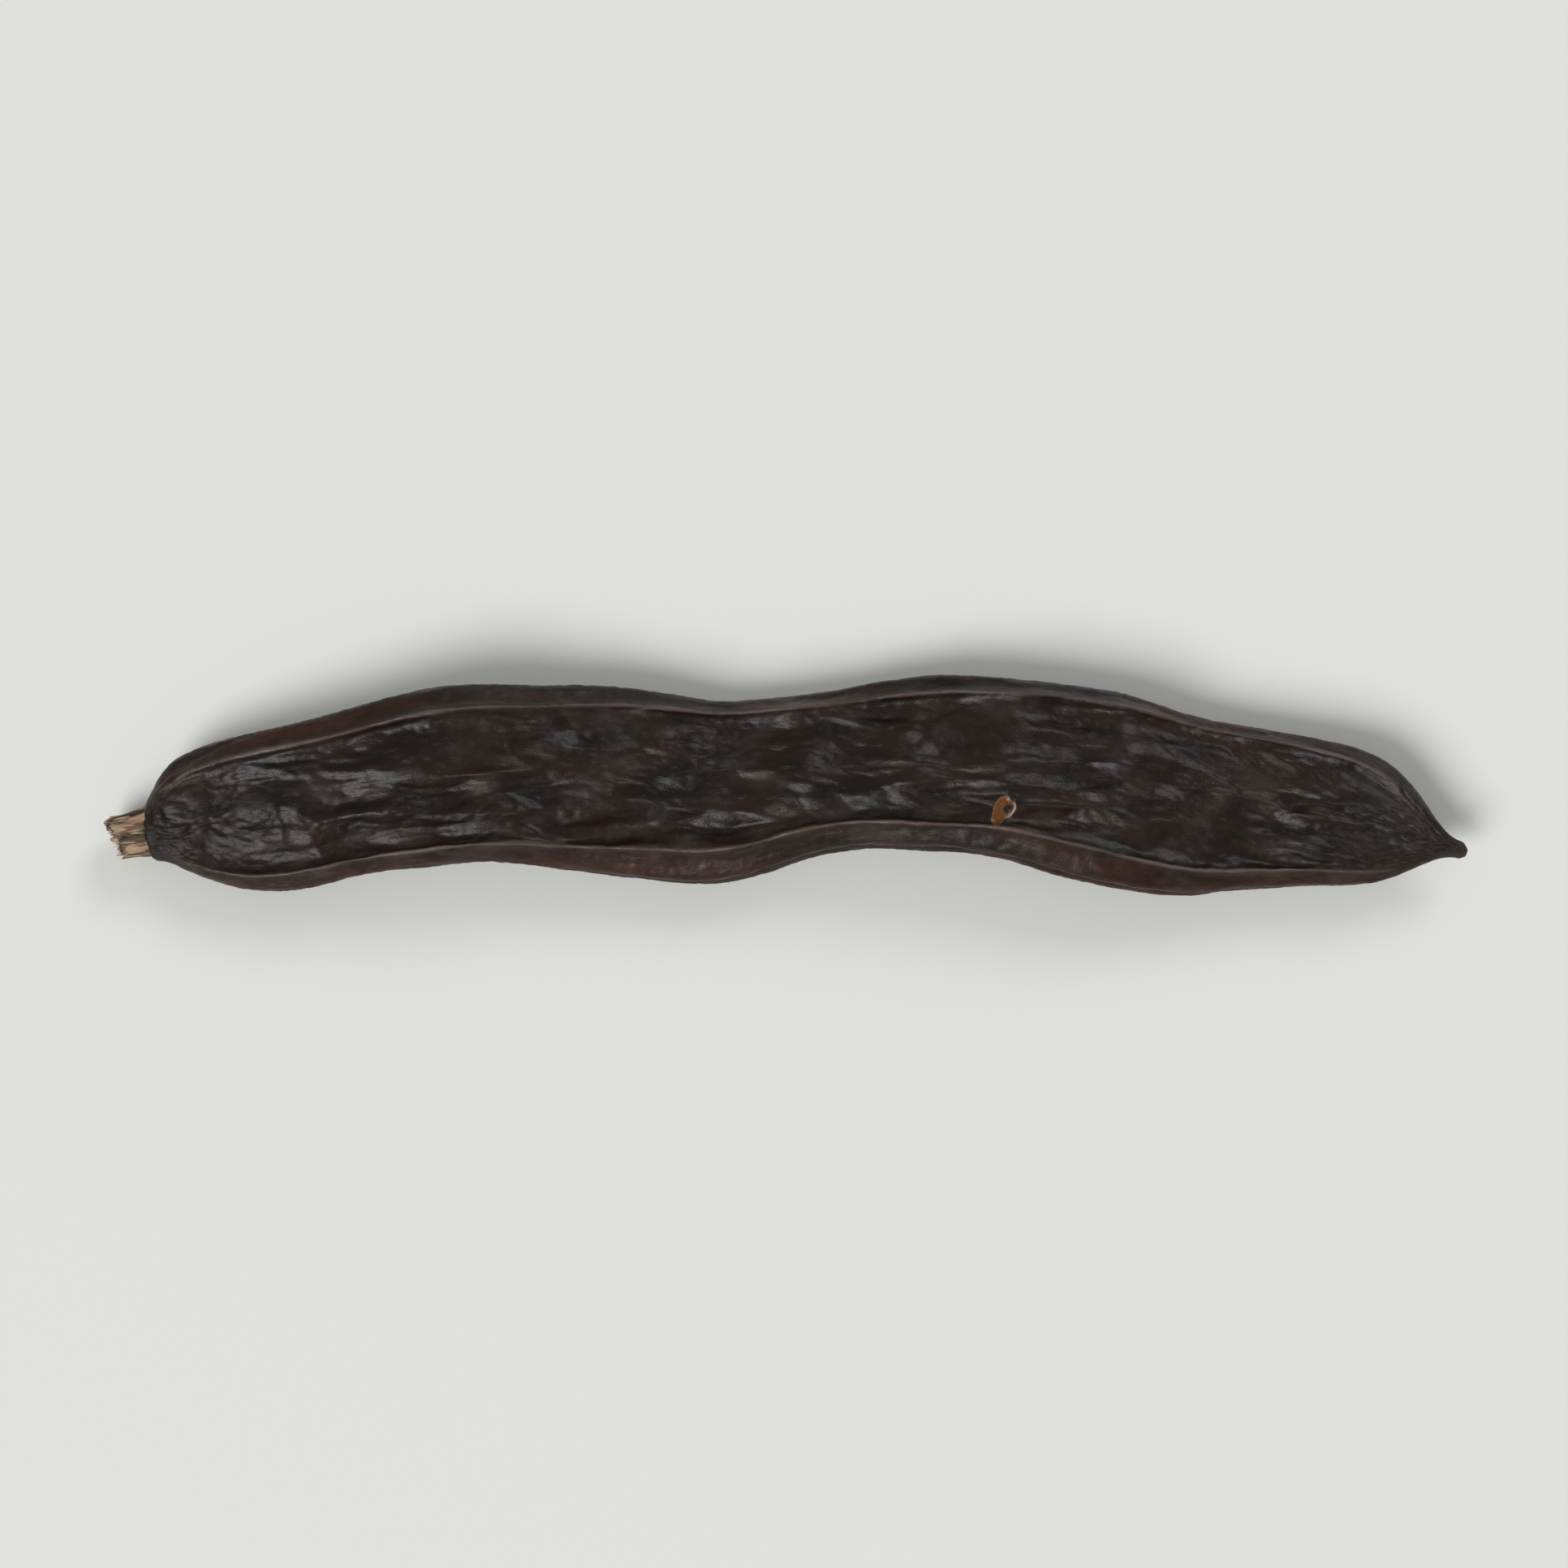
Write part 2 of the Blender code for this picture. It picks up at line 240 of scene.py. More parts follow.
def half_widths(x, sideways):
    """Half width of the pod at x, to its back border if sideways is positive, else to its front."""
    neck, beak = NECK_WIDTH / POD_WIDTH, BEAK_WIDTH / POD_WIDTH
    back, front = hill(x, BACK_SHOULDER, SHOULDER_POWER), hill(x, FRONT_SHOULDER, SHOULDER_POWER)
    shoulder = neck + (1 - neck) * np.where(sideways > 0, back, front)
    flank = beak + (1 - beak) * hill(POD_LENGTH - x, BEAK_HALF, BEAK_POWER)
    back = BACK_WAVE * np.sin(2 * math.pi * x / BACK_WAVE_LENGTH + BACK_WAVE_START)
    front = FRONT_WAVE * np.sin(2 * math.pi * x / FRONT_WAVE_LENGTH + FRONT_WAVE_START)
    wave = np.where(sideways > 0, back, front)
    row = EDGE_ROW * np.sign(sideways)
    uneven = EDGE_UNEVEN * noise(x / EDGE_UNEVEN_LENGTH, row, EDGE_PATCH)
    return POD_WIDTH / 2 * shoulder * flank + (wave + uneven) * (shoulder * flank) ** EDGE_FADE


def half_thickness(x):
    """Half thickness of the pod at x, before the relief of its faces."""
    neck, beak = NECK_THICKNESS / POD_THICKNESS, BEAK_THICKNESS / POD_THICKNESS
    shoulder = neck + (1 - neck) * hill(x, FACE_SHOULDER, SHOULDER_POWER)
    flank = beak + (1 - beak) * hill(POD_LENGTH - x, BEAK_HALF, BEAK_FACE_POWER)
    return POD_THICKNESS / 2 * shoulder * flank


def seed_swelling(x, y):
    """A low mound over each seed, uneven in size and a little out of line: a sum of bumps."""
    swell = np.zeros_like(x)
    pitch = (SEED_LAST - SEED_FIRST) / (SEED_COUNT - 1)
    for i in range(SEED_COUNT):
        along, across, larger = (math.sin(step * i + SEED_START) for step in SEED_STEPS)
        middle = SEED_FIRST + pitch * i + SEED_ASTRAY * along
        size = 1 + SEED_UNEVEN * larger
        swell += size * bump(x - middle, SEED_LONG) * bump(y - SEED_ASTRAY * across, SEED_WIDE)
    return swell


def face_relief(x, share, half, top):
    """Height added to a face: ridge and furrow along each border, hollow, seeds and folds.

    The share goes from -1 at the front border to 1 at the back one.
    """
    out, y = np.abs(share), share * half
    patch = np.where(top, TOP_PATCH, UNDER_PATCH)
    bend = FOLD_BEND * noise(x / FOLD_BEND_LONG, y / FOLD_BEND_WIDE, patch + 1)
    crease = np.hypot(noise(x / FOLD_LONG, y / FOLD_WIDE + bend, patch + 2), FOLD_SOFT)
    inside = 1 - hill(out, FOLD_BORDER, FOLD_BORDER_POWER)
    return (
        RIDGE_HEIGHT * bump((out - RIDGE_AT) * half, RIDGE_REACH)
        - FURROW_DEPTH * bump((out - FURROW_AT) * half, FURROW_REACH)
        - HOLLOW_DEPTH * bump(out**2, HOLLOW_AT**2)
        + SEED_SWELL * seed_swelling(x, y)
        + FOLD_HEIGHT * (1 - 2 * crease) * inside
    )


def section(x, angle):
    """The straight pod's section at x: across and up, the share of the half width and the fade.

    A superellipse, plus the relief of its faces, whose lines wander sideways along the pod, less
    a groove along the edge. The fade is 0 at both ends of the pod and 1 between them.
    """
    c, s = np.cos(angle), np.sin(angle)
    half, to_tip = half_widths(x, c), POD_LENGTH - x
    squareness = hill(x, SQUARED_AT * RELIEF_FROM_NECK, SQUARED_POWER)
    squareness *= hill(to_tip, SQUARED_AT * RELIEF_FROM_BEAK, SQUARED_POWER)
    power = 2 / (2 + (SECTION_POWER - 2) * squareness)
    share = np.sign(c) * np.abs(c) ** power
    fade = hill(x, RELIEF_FROM_NECK, RELIEF_POWER) * hill(to_tip, RELIEF_FROM_BEAK, RELIEF_POWER)
    z = half_thickness(x) * np.abs(s) ** power
    z += fade * np.sqrt(np.abs(s)) * face_relief(x, share, half, s > 0)
    groove = SUTURE_DEPTH * bump(z, SUTURE_REACH) * np.abs(c) ** SUTURE_BAND
    patch = np.where(s > 0, TOP_PATCH, UNDER_PATCH)
    drift = noise(x / RIDGE_WANDER_LENGTH, RIDGE_ROW * np.sign(share) + patch, patch)
    wandered = share * (1 + RIDGE_WANDER * drift * 4 * np.abs(share) * (1 - np.abs(share)))
    y = half * wandered - fade * np.sign(c) * groove
    return y, np.sign(s) * z, share, fade


def husk_rows():
    """Place along the pod and size of each row: socket, rounded lip, skin, rounded tip."""
    socket = [(SOCKET_DEPTH * deep, wide) for deep, wide in SOCKET_ROWS]
    turn = np.linspace(0, math.pi / 2, ROUNDING_ROWS + 1)[:-1]
    lip = NECK_ROUND * (1 - np.cos(turn)), NECK_FACE + (1 - NECK_FACE) * np.sin(turn)
    tip = POD_LENGTH - BEAK_ROUND * (1 - np.sin(turn)), np.cos(turn)
    share = np.linspace(0, 1, SKIN_ROWS + 1)[:-1]
    eased = (1 - END_CROWDING) * share + END_CROWDING * (1 - np.cos(math.pi * share)) / 2
    skin = NECK_ROUND + eased * (POD_LENGTH - BEAK_ROUND - NECK_ROUND), np.ones(SKIN_ROWS)
    place, size = np.hstack([np.transpose(socket), lip, skin, tip])
    return place[:, None], size[:, None], len(socket)


SLOPE_STEPS = (127.1, 269.5, 113.5), (311.7, 183.3, 271.9), (74.7, 246.1, 124.6)  # radians a cell
SLOPE_PATCH_STEP = 17.3
SLOPE_SCALE = 1.6  # brings the sum to a range of about -1 to 1


def slopes(place, patch):
    """Gradient noise from about -1 to 1, for rows of places in three dimensions.

    Each corner of a unit lattice has a random slope, and the eight slopes round a place are
    blended by 6t^5 - 15t^4 + 10t^3. The patch's number picks one of many such noises.
    """
    cell = np.floor(place)
    t = place - cell
    ease = t**3 * (t * (6 * t - 15) + 10)
    total = np.zeros(place.shape[:-1])
    for corner in itertools.product((0, 1), repeat=3):
        angles = (cell + corner) @ np.array(SLOPE_STEPS) + SLOPE_PATCH_STEP * patch
        slope = 2 * scattered(angles) - 1
        weight = np.prod(np.where(corner, ease, 1 - ease), axis=-1)
        total += weight * np.sum(slope * (t - corner), axis=-1)
    return SLOPE_SCALE * total


def stretched(grown, long, wide):
    """Places in a lattice whose cells are that long along the pod and that wide across it."""
    return grown / np.array([long, wide, wide])


LUMPS = 0.00020, 0.0085, 0.0050  # height, and length and width of a cell, as in the next ones
LUMP_PULL = 0.0011, -0.0009  # how far a lump draws the folds round it aside and up
SWERVE = 0.00150, 0.0130, 0.0060
WRINKLES = 0.00038, 0.0105, 0.0021
SLANTED = 0.00022, 0.0052, 0.0024
SLANT = 0.9
CRINKLES = 0.00017, 0.0040, 0.0011
CRUMPLES = 0.00016, 0.0012, 0.0009
CRUMPLED = 0.0075, 0.0042  # length and width of the patches that they fill
CRUMPLED_SHARE = 0.42, 1.3  # how strong they are on average, and how much that differs
GRAIN = 0.00005, 0.0013, 0.00055
COMBED = 0.00013, 0.0150, 0.0008
COMBED_AT = 0.69
COMBED_REACH = 0.12
COMBED_BORDER = 0.75  # strength of the combed lines on the borders
COMBED_FACE = 5  # cells of the noise from the middle to each face's own lines
CRESTS = 0.00026, 0.0090, 0.0200
CREST_REACH = 0.00027
CREST_UNEVEN = 0.85, 0.35
RIM_CREASES = 0.00008, 0.0011, 0.0060
SEAM_DEPTH = 0.00022
SEAM_REACH = 0.00022
BORDER_FROM = 0.82, 14  # share of the half width where the borders start, and how sharply
BORDER_CALM = 0.62  # how much fainter the folds are on them
SHRUNK = 0.00010  # how far the dried skin drew in as a whole

# How much the height of each kind of fold counts where a place is called raised, and sunk
RAISED_BY = {"wrinkles": 0.5, "slanted": 0.3, "crinkles": 0.4, "crumples": 0.5, "crest": 0.4}
RAISED_FROM = 0.12
SUNK_BY = {"wrinkles": 0.8, "slanted": 0.5, "crinkles": 0.5, "crumples": 0.5, "combed": 0.6}
SUNK_FROM = 0.25


def ridged(value):
    """Turns noise into rounded folds with sharp valleys: the root of its size, less its mean."""
    return np.sqrt(np.abs(value)) - 0.5


def dried_relief(grown, share, fade, half):
    """The dried skin's fine relief: its height, and how raised, sunk and near a ridge a place is.

    The layers, from coarse to fine: lumps, lengthwise wrinkles whose lines swerve, slanted ones
    between them, crinkles, patches of crumples and a grain; lines combed along the foot of each
    ridge, which follow its waves; a sharp crest along each ridge; short creases across the
    borders; and a seam down the groove of the edge.
    """
    lumps = slopes(stretched(grown, *LUMPS[1:]), 1)
    swerve = SWERVE[0] * slopes(stretched(grown, *SWERVE[1:]), 8)
    (pull_aside, pull_up), still = LUMP_PULL, np.zeros_like(lumps)
    swerved = grown + np.stack([still, pull_aside * lumps + swerve, pull_up * lumps], -1)
    leaning = swerved + np.stack([SLANT * grown[..., 1], still, still], -1)
    middle, spread = CRUMPLED_SHARE
    crumpled_here = np.clip(middle + spread * slopes(stretched(grown, *CRUMPLED), 23), 0, 1)
    out, side = np.abs(share), np.sign(grown[..., 2])
    border = hill(out, *BORDER_FROM)
    calm = 1 - BORDER_CALM * border
    own_face = COMBED_FACE * COMBED[2] * side
    follows = np.stack([grown[..., 0], share * POD_WIDTH / 2, own_face], -1)
    combed_here = bump(out - COMBED_AT, COMBED_REACH) + COMBED_BORDER * border
    middle, spread = CREST_UNEVEN
    crest = bump((out - RIDGE_AT) * half, CREST_REACH)
    crest *= middle + spread * slopes(stretched(grown, *CRESTS[1:]), 5)
    creases = ridged(slopes(stretched(grown, *RIM_CREASES[1:]), 6))
    seam = bump(grown[..., 2], SEAM_REACH) * border
    folds = {
        "wrinkles": ridged(slopes(stretched(swerved, *WRINKLES[1:]), 2)),
        "slanted": ridged(slopes(stretched(leaning, *SLANTED[1:]), 9)),
        "crinkles": ridged(slopes(stretched(swerved, *CRINKLES[1:]), 3)),
        "crumples": ridged(slopes(stretched(swerved, *CRUMPLES[1:]), 22)) * crumpled_here,
        "combed": ridged(slopes(stretched(follows, *COMBED[1:]), 10)) * combed_here,
        "crest": crest * fade,
    }
    height = (
        LUMPS[0] * lumps
        + WRINKLES[0] * folds["wrinkles"] * calm
        + SLANTED[0] * folds["slanted"] * calm
        + CRINKLES[0] * folds["crinkles"] * calm
        + CRUMPLES[0] * folds["crumples"] * calm
        + GRAIN[0] * slopes(stretched(grown, *GRAIN[1:]), 4)
        + COMBED[0] * folds["combed"] * fade
        + CRESTS[0] * folds["crest"]
        + RIM_CREASES[0] * creases * border
        - SEAM_DEPTH * seam * fade
        - SHRUNK
    )
    raised = sum(weight * folds[kind] for kind, weight in RAISED_BY.items()) - RAISED_FROM
    sunk = seam - sum(weight * folds[kind] for kind, weight in SUNK_BY.items()) - SUNK_FROM
    return height, *(np.clip(mask, 0, 1) for mask in (raised, sunk, folds["crest"]))


# A small torn spot near the front border, where the amber pulp shows
WOUND_X = 0.0970
WOUND_Y = -0.0056
WOUND_HALF = 0.0021
WOUND_WIDE = 0.00115, 0.00060  # half widths near its two ends
WOUND_LEAN = 0.33
WOUND_RAGGED = 0.26, 0.0009, 0.0009  # share of its half sizes, and a cell's length and width
WOUND_DEPTH = 0.00042
WOUND_LIP = 0.00018
WOUND_LIP_AT = 1.13, 0.17  # place and reach of its raised lip, as shares of its half sizes
WOUND_POWER = 6
# The hole is also painted near black: painted shade in it.
WOUND_HOLE = 0.00045, 0.00080  # where the small dark hole in it lies, across it and along it
WOUND_HOLE_HALF = 0.00050
WOUND_HOLE_ROUND = 0.62  # 1 would be a circle, smaller is longer across the pod
WOUND_HOLE_REACH = 0.8
WOUND_FAR = 3.0
PULP_LUMPS = 0.00012, 0.0010, 0.00045


def wound(grown, top):
    """How far a place is from the middles of the torn spot and its hole, and beside the hole.

    The first two are 1 at the rims. On the upper face, the spot is a ragged drop shape across
    the pod: an oval whose width changes evenly from one end to the other.
    """
    x, y = grown[..., 0] - WOUND_X, grown[..., 1] - WOUND_Y
    c, s = math.cos(WOUND_LEAN), math.sin(WOUND_LEAN)
    x, y = x * c - y * s, y * c + x * s
    ragged = WOUND_RAGGED[0] * slopes(stretched(grown, *WOUND_RAGGED[1:]), 7)
    wide, narrow = WOUND_WIDE
    half_wide = narrow + (wide - narrow) * np.clip(0.5 + 0.5 * y / WOUND_HALF, 0, 1)
    away = np.hypot(x / half_wide, y / WOUND_HALF) + ragged
    hole_x, hole_y = WOUND_HOLE
    beside = (x - hole_x) / WOUND_HOLE_HALF
    from_hole = np.hypot(beside, WOUND_HOLE_ROUND * (y - hole_y) / WOUND_HOLE_HALF)
    far = [np.where(top, np.minimum(value, WOUND_FAR), WOUND_FAR) for value in (away, from_hole)]
    return *far, np.clip(beside, -WOUND_FAR, WOUND_FAR)


def grid_normals(points):
    """Outward normals of a grid of rows that close round the pod: across the rows x along them."""
    along = np.gradient(points, axis=0)
    around = np.roll(points, -1, axis=1) - np.roll(points, 1, axis=1)
    normal = np.cross(around, along)
    return normal / np.maximum(np.linalg.norm(normal, axis=-1, keepdims=True), 1e-12)


def closed_skins(name, points, layers):
    """An object from grids of rows that close round, each shut by a point at both ends.

    Points go by skin, row, place round it and axis. Layers are named values at those points,
    numbers or places, that the material reads as attributes of the mesh. An end point has the
    mean of its row. All is shaded smooth.
    """
    skins, rows, around = points.shape[:3]
    count = skins * rows * around

    def with_ends(values):
        ends = np.stack([values[:, 0].mean(1), values[:, -1].mean(1)], 1)
        return np.vstack([values.reshape(count, -1), ends.reshape(2 * skins, -1)])

    spot = np.arange(count).reshape(skins, rows, around)
    beside = np.roll(spot, -1, axis=2)
    quads = np.stack([spot[:, :-1], beside[:, :-1], beside[:, 1:], spot[:, 1:]], -1).reshape(-1, 4)
    first = np.broadcast_to(count + 2 * np.arange(skins)[:, None], (skins, around))
    start = np.stack([first, beside[:, 0], spot[:, 0]], -1).reshape(-1, 3)
    finish = np.stack([first + 1, spot[:, -1], beside[:, -1]], -1).reshape(-1, 3)
    mesh = bpy.data.meshes.new(name)
    mesh.from_pydata(with_ends(points), [], [*quads.tolist(), *start.tolist(), *finish.tolist()])
    for label, values in layers.items():
        kind, field = ("FLOAT_VECTOR", "vector") if values.ndim == 4 else ("FLOAT", "value")
        carried = mesh.attributes.new(label, kind, "POINT")
        carried.data.foreach_set(field, with_ends(values).astype(np.float32).ravel())
    mesh.shade_smooth()
    made = bpy.data.objects.new(name, mesh)
    bpy.context.scene.collection.objects.link(made)
    return made


MEASURED_STEPS = 40000


def even_angles(count):
    """Angles whose points lie evenly along the line round the pod's widest section.

    The line is measured in many short steps, and equal lengths of it are read back as angles.
    """
    fine = np.linspace(-math.pi, math.pi, MEASURED_STEPS + 1)
    c, s, power = np.cos(fine), np.sin(fine), 2 / SECTION_POWER
    y = POD_WIDTH / 2 * np.sign(c) * np.abs(c) ** power
    z = POD_THICKNESS / 2 * np.sign(s) * np.abs(s) ** power
    run = np.concatenate([[0], np.cumsum(np.hypot(np.diff(y), np.diff(z)))])
    return np.interp(np.linspace(0, run[-1], count, endpoint=False), run, fine)


NECK_LIP_OUT = 0.00042
NECK_LIP_REACH = 0.0009
NECK_LIP_UNEVEN = 0.6, 0.7
NECK_LIP_CELLS = 2.2  # of its unevenness, times about 6 round the neck
TIP_ROUGH = 0.00016
TIP_REACH = 0.0016
TIP_CELL = 0.0007
RELIEF_ON_ENDS = 0.5, 4  # share of an end's radius outside which the relief starts
RELIEF_WHERE_NARROW = 0.45
RELIEF_FULL_AT = 0.006  # half width of the pod from which its relief is whole
BORDER_COLOUR_FROM = 0.84, 14
PAST_NECK = 0.001  # how far the lip may stand past the CAD pod's end, over its stub

station, size, socket_rows = husk_rows()
station, angle = np.broadcast_arrays(station, even_angles(SKIN_AROUND)[None, :])
across, up, share, fade = section(station, angle)
in_socket = np.arange(len(station))[:, None] < socket_rows
across = size * np.where(in_socket, SOCKET_RADIUS * np.cos(angle), across)
up = size * np.where(in_socket, SOCKET_RADIUS * np.sin(angle), up)
round_neck = NECK_LIP_CELLS * np.stack([0 * angle, np.cos(angle), np.sin(angle)], -1)
lip_middle, lip_spread = NECK_LIP_UNEVEN
lip_out = NECK_LIP_OUT * (lip_middle + lip_spread * slopes(round_neck, 17))
lip_out *= bump(station, NECK_LIP_REACH)
plain = bent(station - np.where(in_socket, 0.0, lip_out), across, up)

low, high = (np.array(corner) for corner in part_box("pod"))
seat = (low + high) / 2 - (plain.min((0, 1)) + plain.max((0, 1))) / 2
seat[0] = high[0] - plain[..., 0].max()
seat[2] = high[2] - plain[..., 2].max()

half = half_widths(station, np.cos(angle))
grown = np.stack([station, across / half * POD_WIDTH / 2, up / half * POD_WIDTH / 2], -1)
height, crest, hollow, ridge = dried_relief(grown, share, fade, half)
from_torn, from_hole, beside_hole = wound(grown, np.sin(angle) > 0)
torn = 1 - hill(from_torn, 1.0, WOUND_POWER)
lip_at, lip_reach = WOUND_LIP_AT
pulp = PULP_LUMPS[0] * slopes(stretched(grown, *PULP_LUMPS[1:]), 20)
height = height * (1 - torn) - (WOUND_DEPTH - pulp) * torn
height += WOUND_LIP * bump(from_torn - lip_at, lip_reach)
height -= WOUND_DEPTH * bump(from_hole, WOUND_HOLE_REACH)
whole = np.minimum(1, half / RELIEF_FULL_AT)
shallow = hill(size, *RELIEF_ON_ENDS) * (RELIEF_WHERE_NARROW + (1 - RELIEF_WHERE_NARROW) * whole)
at_tip = bump(POD_LENGTH - station, TIP_REACH)
knobby = slopes(np.stack([station, across, up], -1) / TIP_CELL, 18)
height = height * np.where(in_socket, 0.0, shallow) + TIP_ROUGH * knobby * at_tip
dried = plain + grid_normals(plain) * height[..., None] + seat
carried = {
    "grown": grown,
    "crest": crest,
    "hollow": hollow,
    "ridge": ridge,
    "border": hill(np.abs(share), *BORDER_COLOUR_FROM),
    "from_torn": from_torn,
    "from_hole": from_hole,
    "beside_hole": beside_hole,
    "tip": at_tip,
}
husk = closed_skins(
    "husk",
    np.clip(dried, low - [PAST_NECK, 0, 0], high)[None],
    {label: values[None] for label, values in carried.items()},
)
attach(husk, "root")
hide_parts("pod")


def add(tree, kind, inputs, **settings):
    """A shader node with its settings, each input set to a value or joined to a socket."""
    made = tree.nodes.new("ShaderNode" + kind)
    for name, value in settings.items():
        setattr(made, name, value)
    for name, value in inputs.items():
        if isinstance(value, bpy.types.NodeSocket):
            tree.links.new(value, made.inputs[name])
        else:
            made.inputs[name].default_value = value
    return made


def math_of(tree, operation, *values):
    """The result of a Math node."""
    return add(tree, "Math", dict(enumerate(values)), operation=operation).outputs[0]


def mixed(tree, share, first, second):
    """A colour between the first and the second, by the share."""
    made = add(tree, "Mix", {0: share}, data_type="RGBA")
    for slot, colour in ((6, first), (7, second)):
        if isinstance(colour, bpy.types.NodeSocket):
            tree.links.new(colour, made.inputs[slot])
        else:
            made.inputs[slot].default_value = (*colour, 1.0)
    return made.outputs[2]


def laid_over(tree, colour, mask, over, cover):
    """The colour with another one over it where the mask is, which covers it by that much."""
    return mixed(tree, math_of(tree, "MULTIPLY", mask, cover), colour, over)


def ramp(tree, value, start, end):
    """A mask that goes evenly from 0 to 1 as the value goes from the start to the end."""
    limits = {"Value": value, "From Min": start, "From Max": end}
    return add(tree, "MapRange", limits).outputs[0]


def layer(tree, name, output="Fac"):
    """One of the values that the mesh carries."""
    return add(tree, "Attribute", {}, attribute_name=name).outputs[output]


def effect(name, inputs, outputs):
    """A node group with those named number sockets, its input node and its output node.

    The input named Place is a vector, the others are plain numbers.
    """
    tree = bpy.data.node_groups.new(name, "ShaderNodeTree")
    for labels, side in ((inputs, "INPUT"), (outputs, "OUTPUT")):
        for label in labels:
            kind = "NodeSocketVector" if label == "Place" else "NodeSocketFloat"
            tree.interface.new_socket(label, in_out=side, socket_type=kind)
    return tree, tree.nodes.new("NodeGroupInput").outputs, tree.nodes.new("NodeGroupOutput").inputs


def lengthwise(tree, place, long, wide):
    """Places measured in cells of that length and width, for a noise whose cell is 1."""
    cell = add(tree, "CombineXYZ", {"X": long, "Y": wide, "Z": wide}).outputs[0]
    return add(tree, "VectorMath", {0: place, 1: cell}, operation="DIVIDE").outputs[0]


def cloud(tree, place, scale, detail, rough):
    """Noise with that many finer ones in it, each that strong beside the coarser one before."""
    inputs = {"Vector": place, "Scale": scale, "Detail": detail, "Roughness": rough}
    return add(tree, "TexNoise", inputs).outputs["Fac"]


def make_mottle():
    """Patches drawn out along the piece: noise in long cells, pushed apart into a mask."""
    sockets = "Place", "Long", "Wide", "Cover", "Soft"
    tree, given, result = effect("dry mottle", sockets, ["Mask"])
    place = lengthwise(tree, given["Place"], given["Long"], given["Wide"])
    start = math_of(tree, "SUBTRACT", 1.0, given["Cover"])
    limits = {
        "Value": cloud(tree, place, 1.0, 5.0, 0.62),
        "From Min": math_of(tree, "SUBTRACT", start, given["Soft"]),
        "From Max": math_of(tree, "ADD", start, given["Soft"]),
    }
    mask = add(tree, "MapRange", limits, interpolation_type="SMOOTHSTEP")
    tree.links.new(mask.outputs[0], result["Mask"])
    return tree


FINE_GRAIN = 0.5  # strength of the finer noise beside the coarser one's 1
PORE_SCALE = 0.8
PORE_EDGE = 0.12, 0.3  # distances from a pore's middle


def make_grain():
    """Fine lengthwise grain with pores: two noises in long cells, and dots between them."""
    tree, given, result = effect("dry grain", ("Place", "Long", "Wide"), ("Height", "Pores"))
    place = lengthwise(tree, given["Place"], given["Long"], given["Wide"])
    fine = math_of(tree, "MULTIPLY", cloud(tree, place, 3.1, 2.0, 0.5), FINE_GRAIN)
    height = math_of(tree, "ADD", cloud(tree, place, 1.0, 3.0, 0.55), fine)
    dots = add(tree, "TexVoronoi", {"Vector": place, "Scale": PORE_SCALE, "Randomness": 1.0})
    around = ramp(tree, dots.outputs["Distance"], *PORE_EDGE)
    tree.links.new(height, result["Height"])
    tree.links.new(math_of(tree, "SUBTRACT", 1.0, around), result["Pores"])
    return tree


BROKEN_EDGE = 0.38, 0.62


def make_rubbed():
    """Worn crests: how raised a place is, broken up by noise."""
    tree, given, result = effect("rubbed crests", ("Place", "Raised", "Size"), ["Mask"])
    place = lengthwise(tree, given["Place"], given["Size"], given["Size"])
    broken = ramp(tree, cloud(tree, place, 1.0, 4.0, 0.7), *BROKEN_EDGE)
    tree.links.new(math_of(tree, "MULTIPLY", given["Raised"], broken), result["Mask"])
    return tree


mottle, grain, rubbed = make_mottle(), make_grain(), make_rubbed()


def placed(tree, group, inputs):
    """The outputs of a node group placed in a material with its own values."""
    made = add(tree, "Group", {}, node_tree=group)
    for name, value in inputs.items():
        if isinstance(value, bpy.types.NodeSocket):
            tree.links.new(value, made.inputs[name])
        else:
            made.inputs[name].default_value = value
    return made.outputs


HUSK_BLACK = (0.0050, 0.0034, 0.0028)
HUSK_BROWN = (0.0175, 0.0080, 0.0050)
HUSK_RED = (0.060, 0.0185, 0.0095), 0.75  # with how much it covers, as in the others like it
HUSK_STREAK = HUSK_BLACK, 0.6
HUSK_CREST = (0.165, 0.100, 0.068), 0.50
# The pale line along each ridge: partly wear, partly a painted highlight.
HUSK_RIDGE_WEAR_AND_HIGHLIGHT = (0.165, 0.118, 0.100)
# Painted shade: near black, laid in the creases and hollows and in the torn spot's hole.
HUSK_PIT_SHADE = (0.0045, 0.0030, 0.0026)
HUSK_HOLLOW_SHADE = HUSK_PIT_SHADE, 0.65
HUSK_BLOOM = (0.135, 0.120, 0.108), 0.06
HUSK_TIP = (0.110, 0.080, 0.058), 0.35
PULP = (0.125, 0.043, 0.008)
PULP_DEEP = (0.055, 0.015, 0.003), 0.5
# Pale colour of the torn skin's rim, and of the painted glint beside the hole.
PULP_RIM_AND_GLINT = (0.300, 0.215, 0.155)
PULP_RIM_COVER = 0.25

BROWN_PATCHES = {"Long": 0.011, "Wide": 0.0030, "Cover": 0.52, "Soft": 0.14}
RED_PATCHES = {"Long": 0.020, "Wide": 0.0050, "Cover": 0.50, "Soft": 0.12}
DARK_STREAKS = {"Long": 0.0120, "Wide": 0.0006, "Cover": 0.46, "Soft": 0.10}
BLOOM_PATCHES = {"Long": 0.0060, "Wide": 0.0040, "Cover": 0.42, "Soft": 0.10}
HUSK_FIBRE = {"Long": 0.00070, "Wide": 0.00028}
HUSK_WORN_CELL = 0.0016
HUSK_BUMP = {"Strength": 0.55, "Distance": 0.00010}
# Where the ridge's pale line lies, partly wear and partly painted highlight.
RIDGE_LINE = {"From Min": 0.20, "From Max": 0.95, "To Max": 0.58}

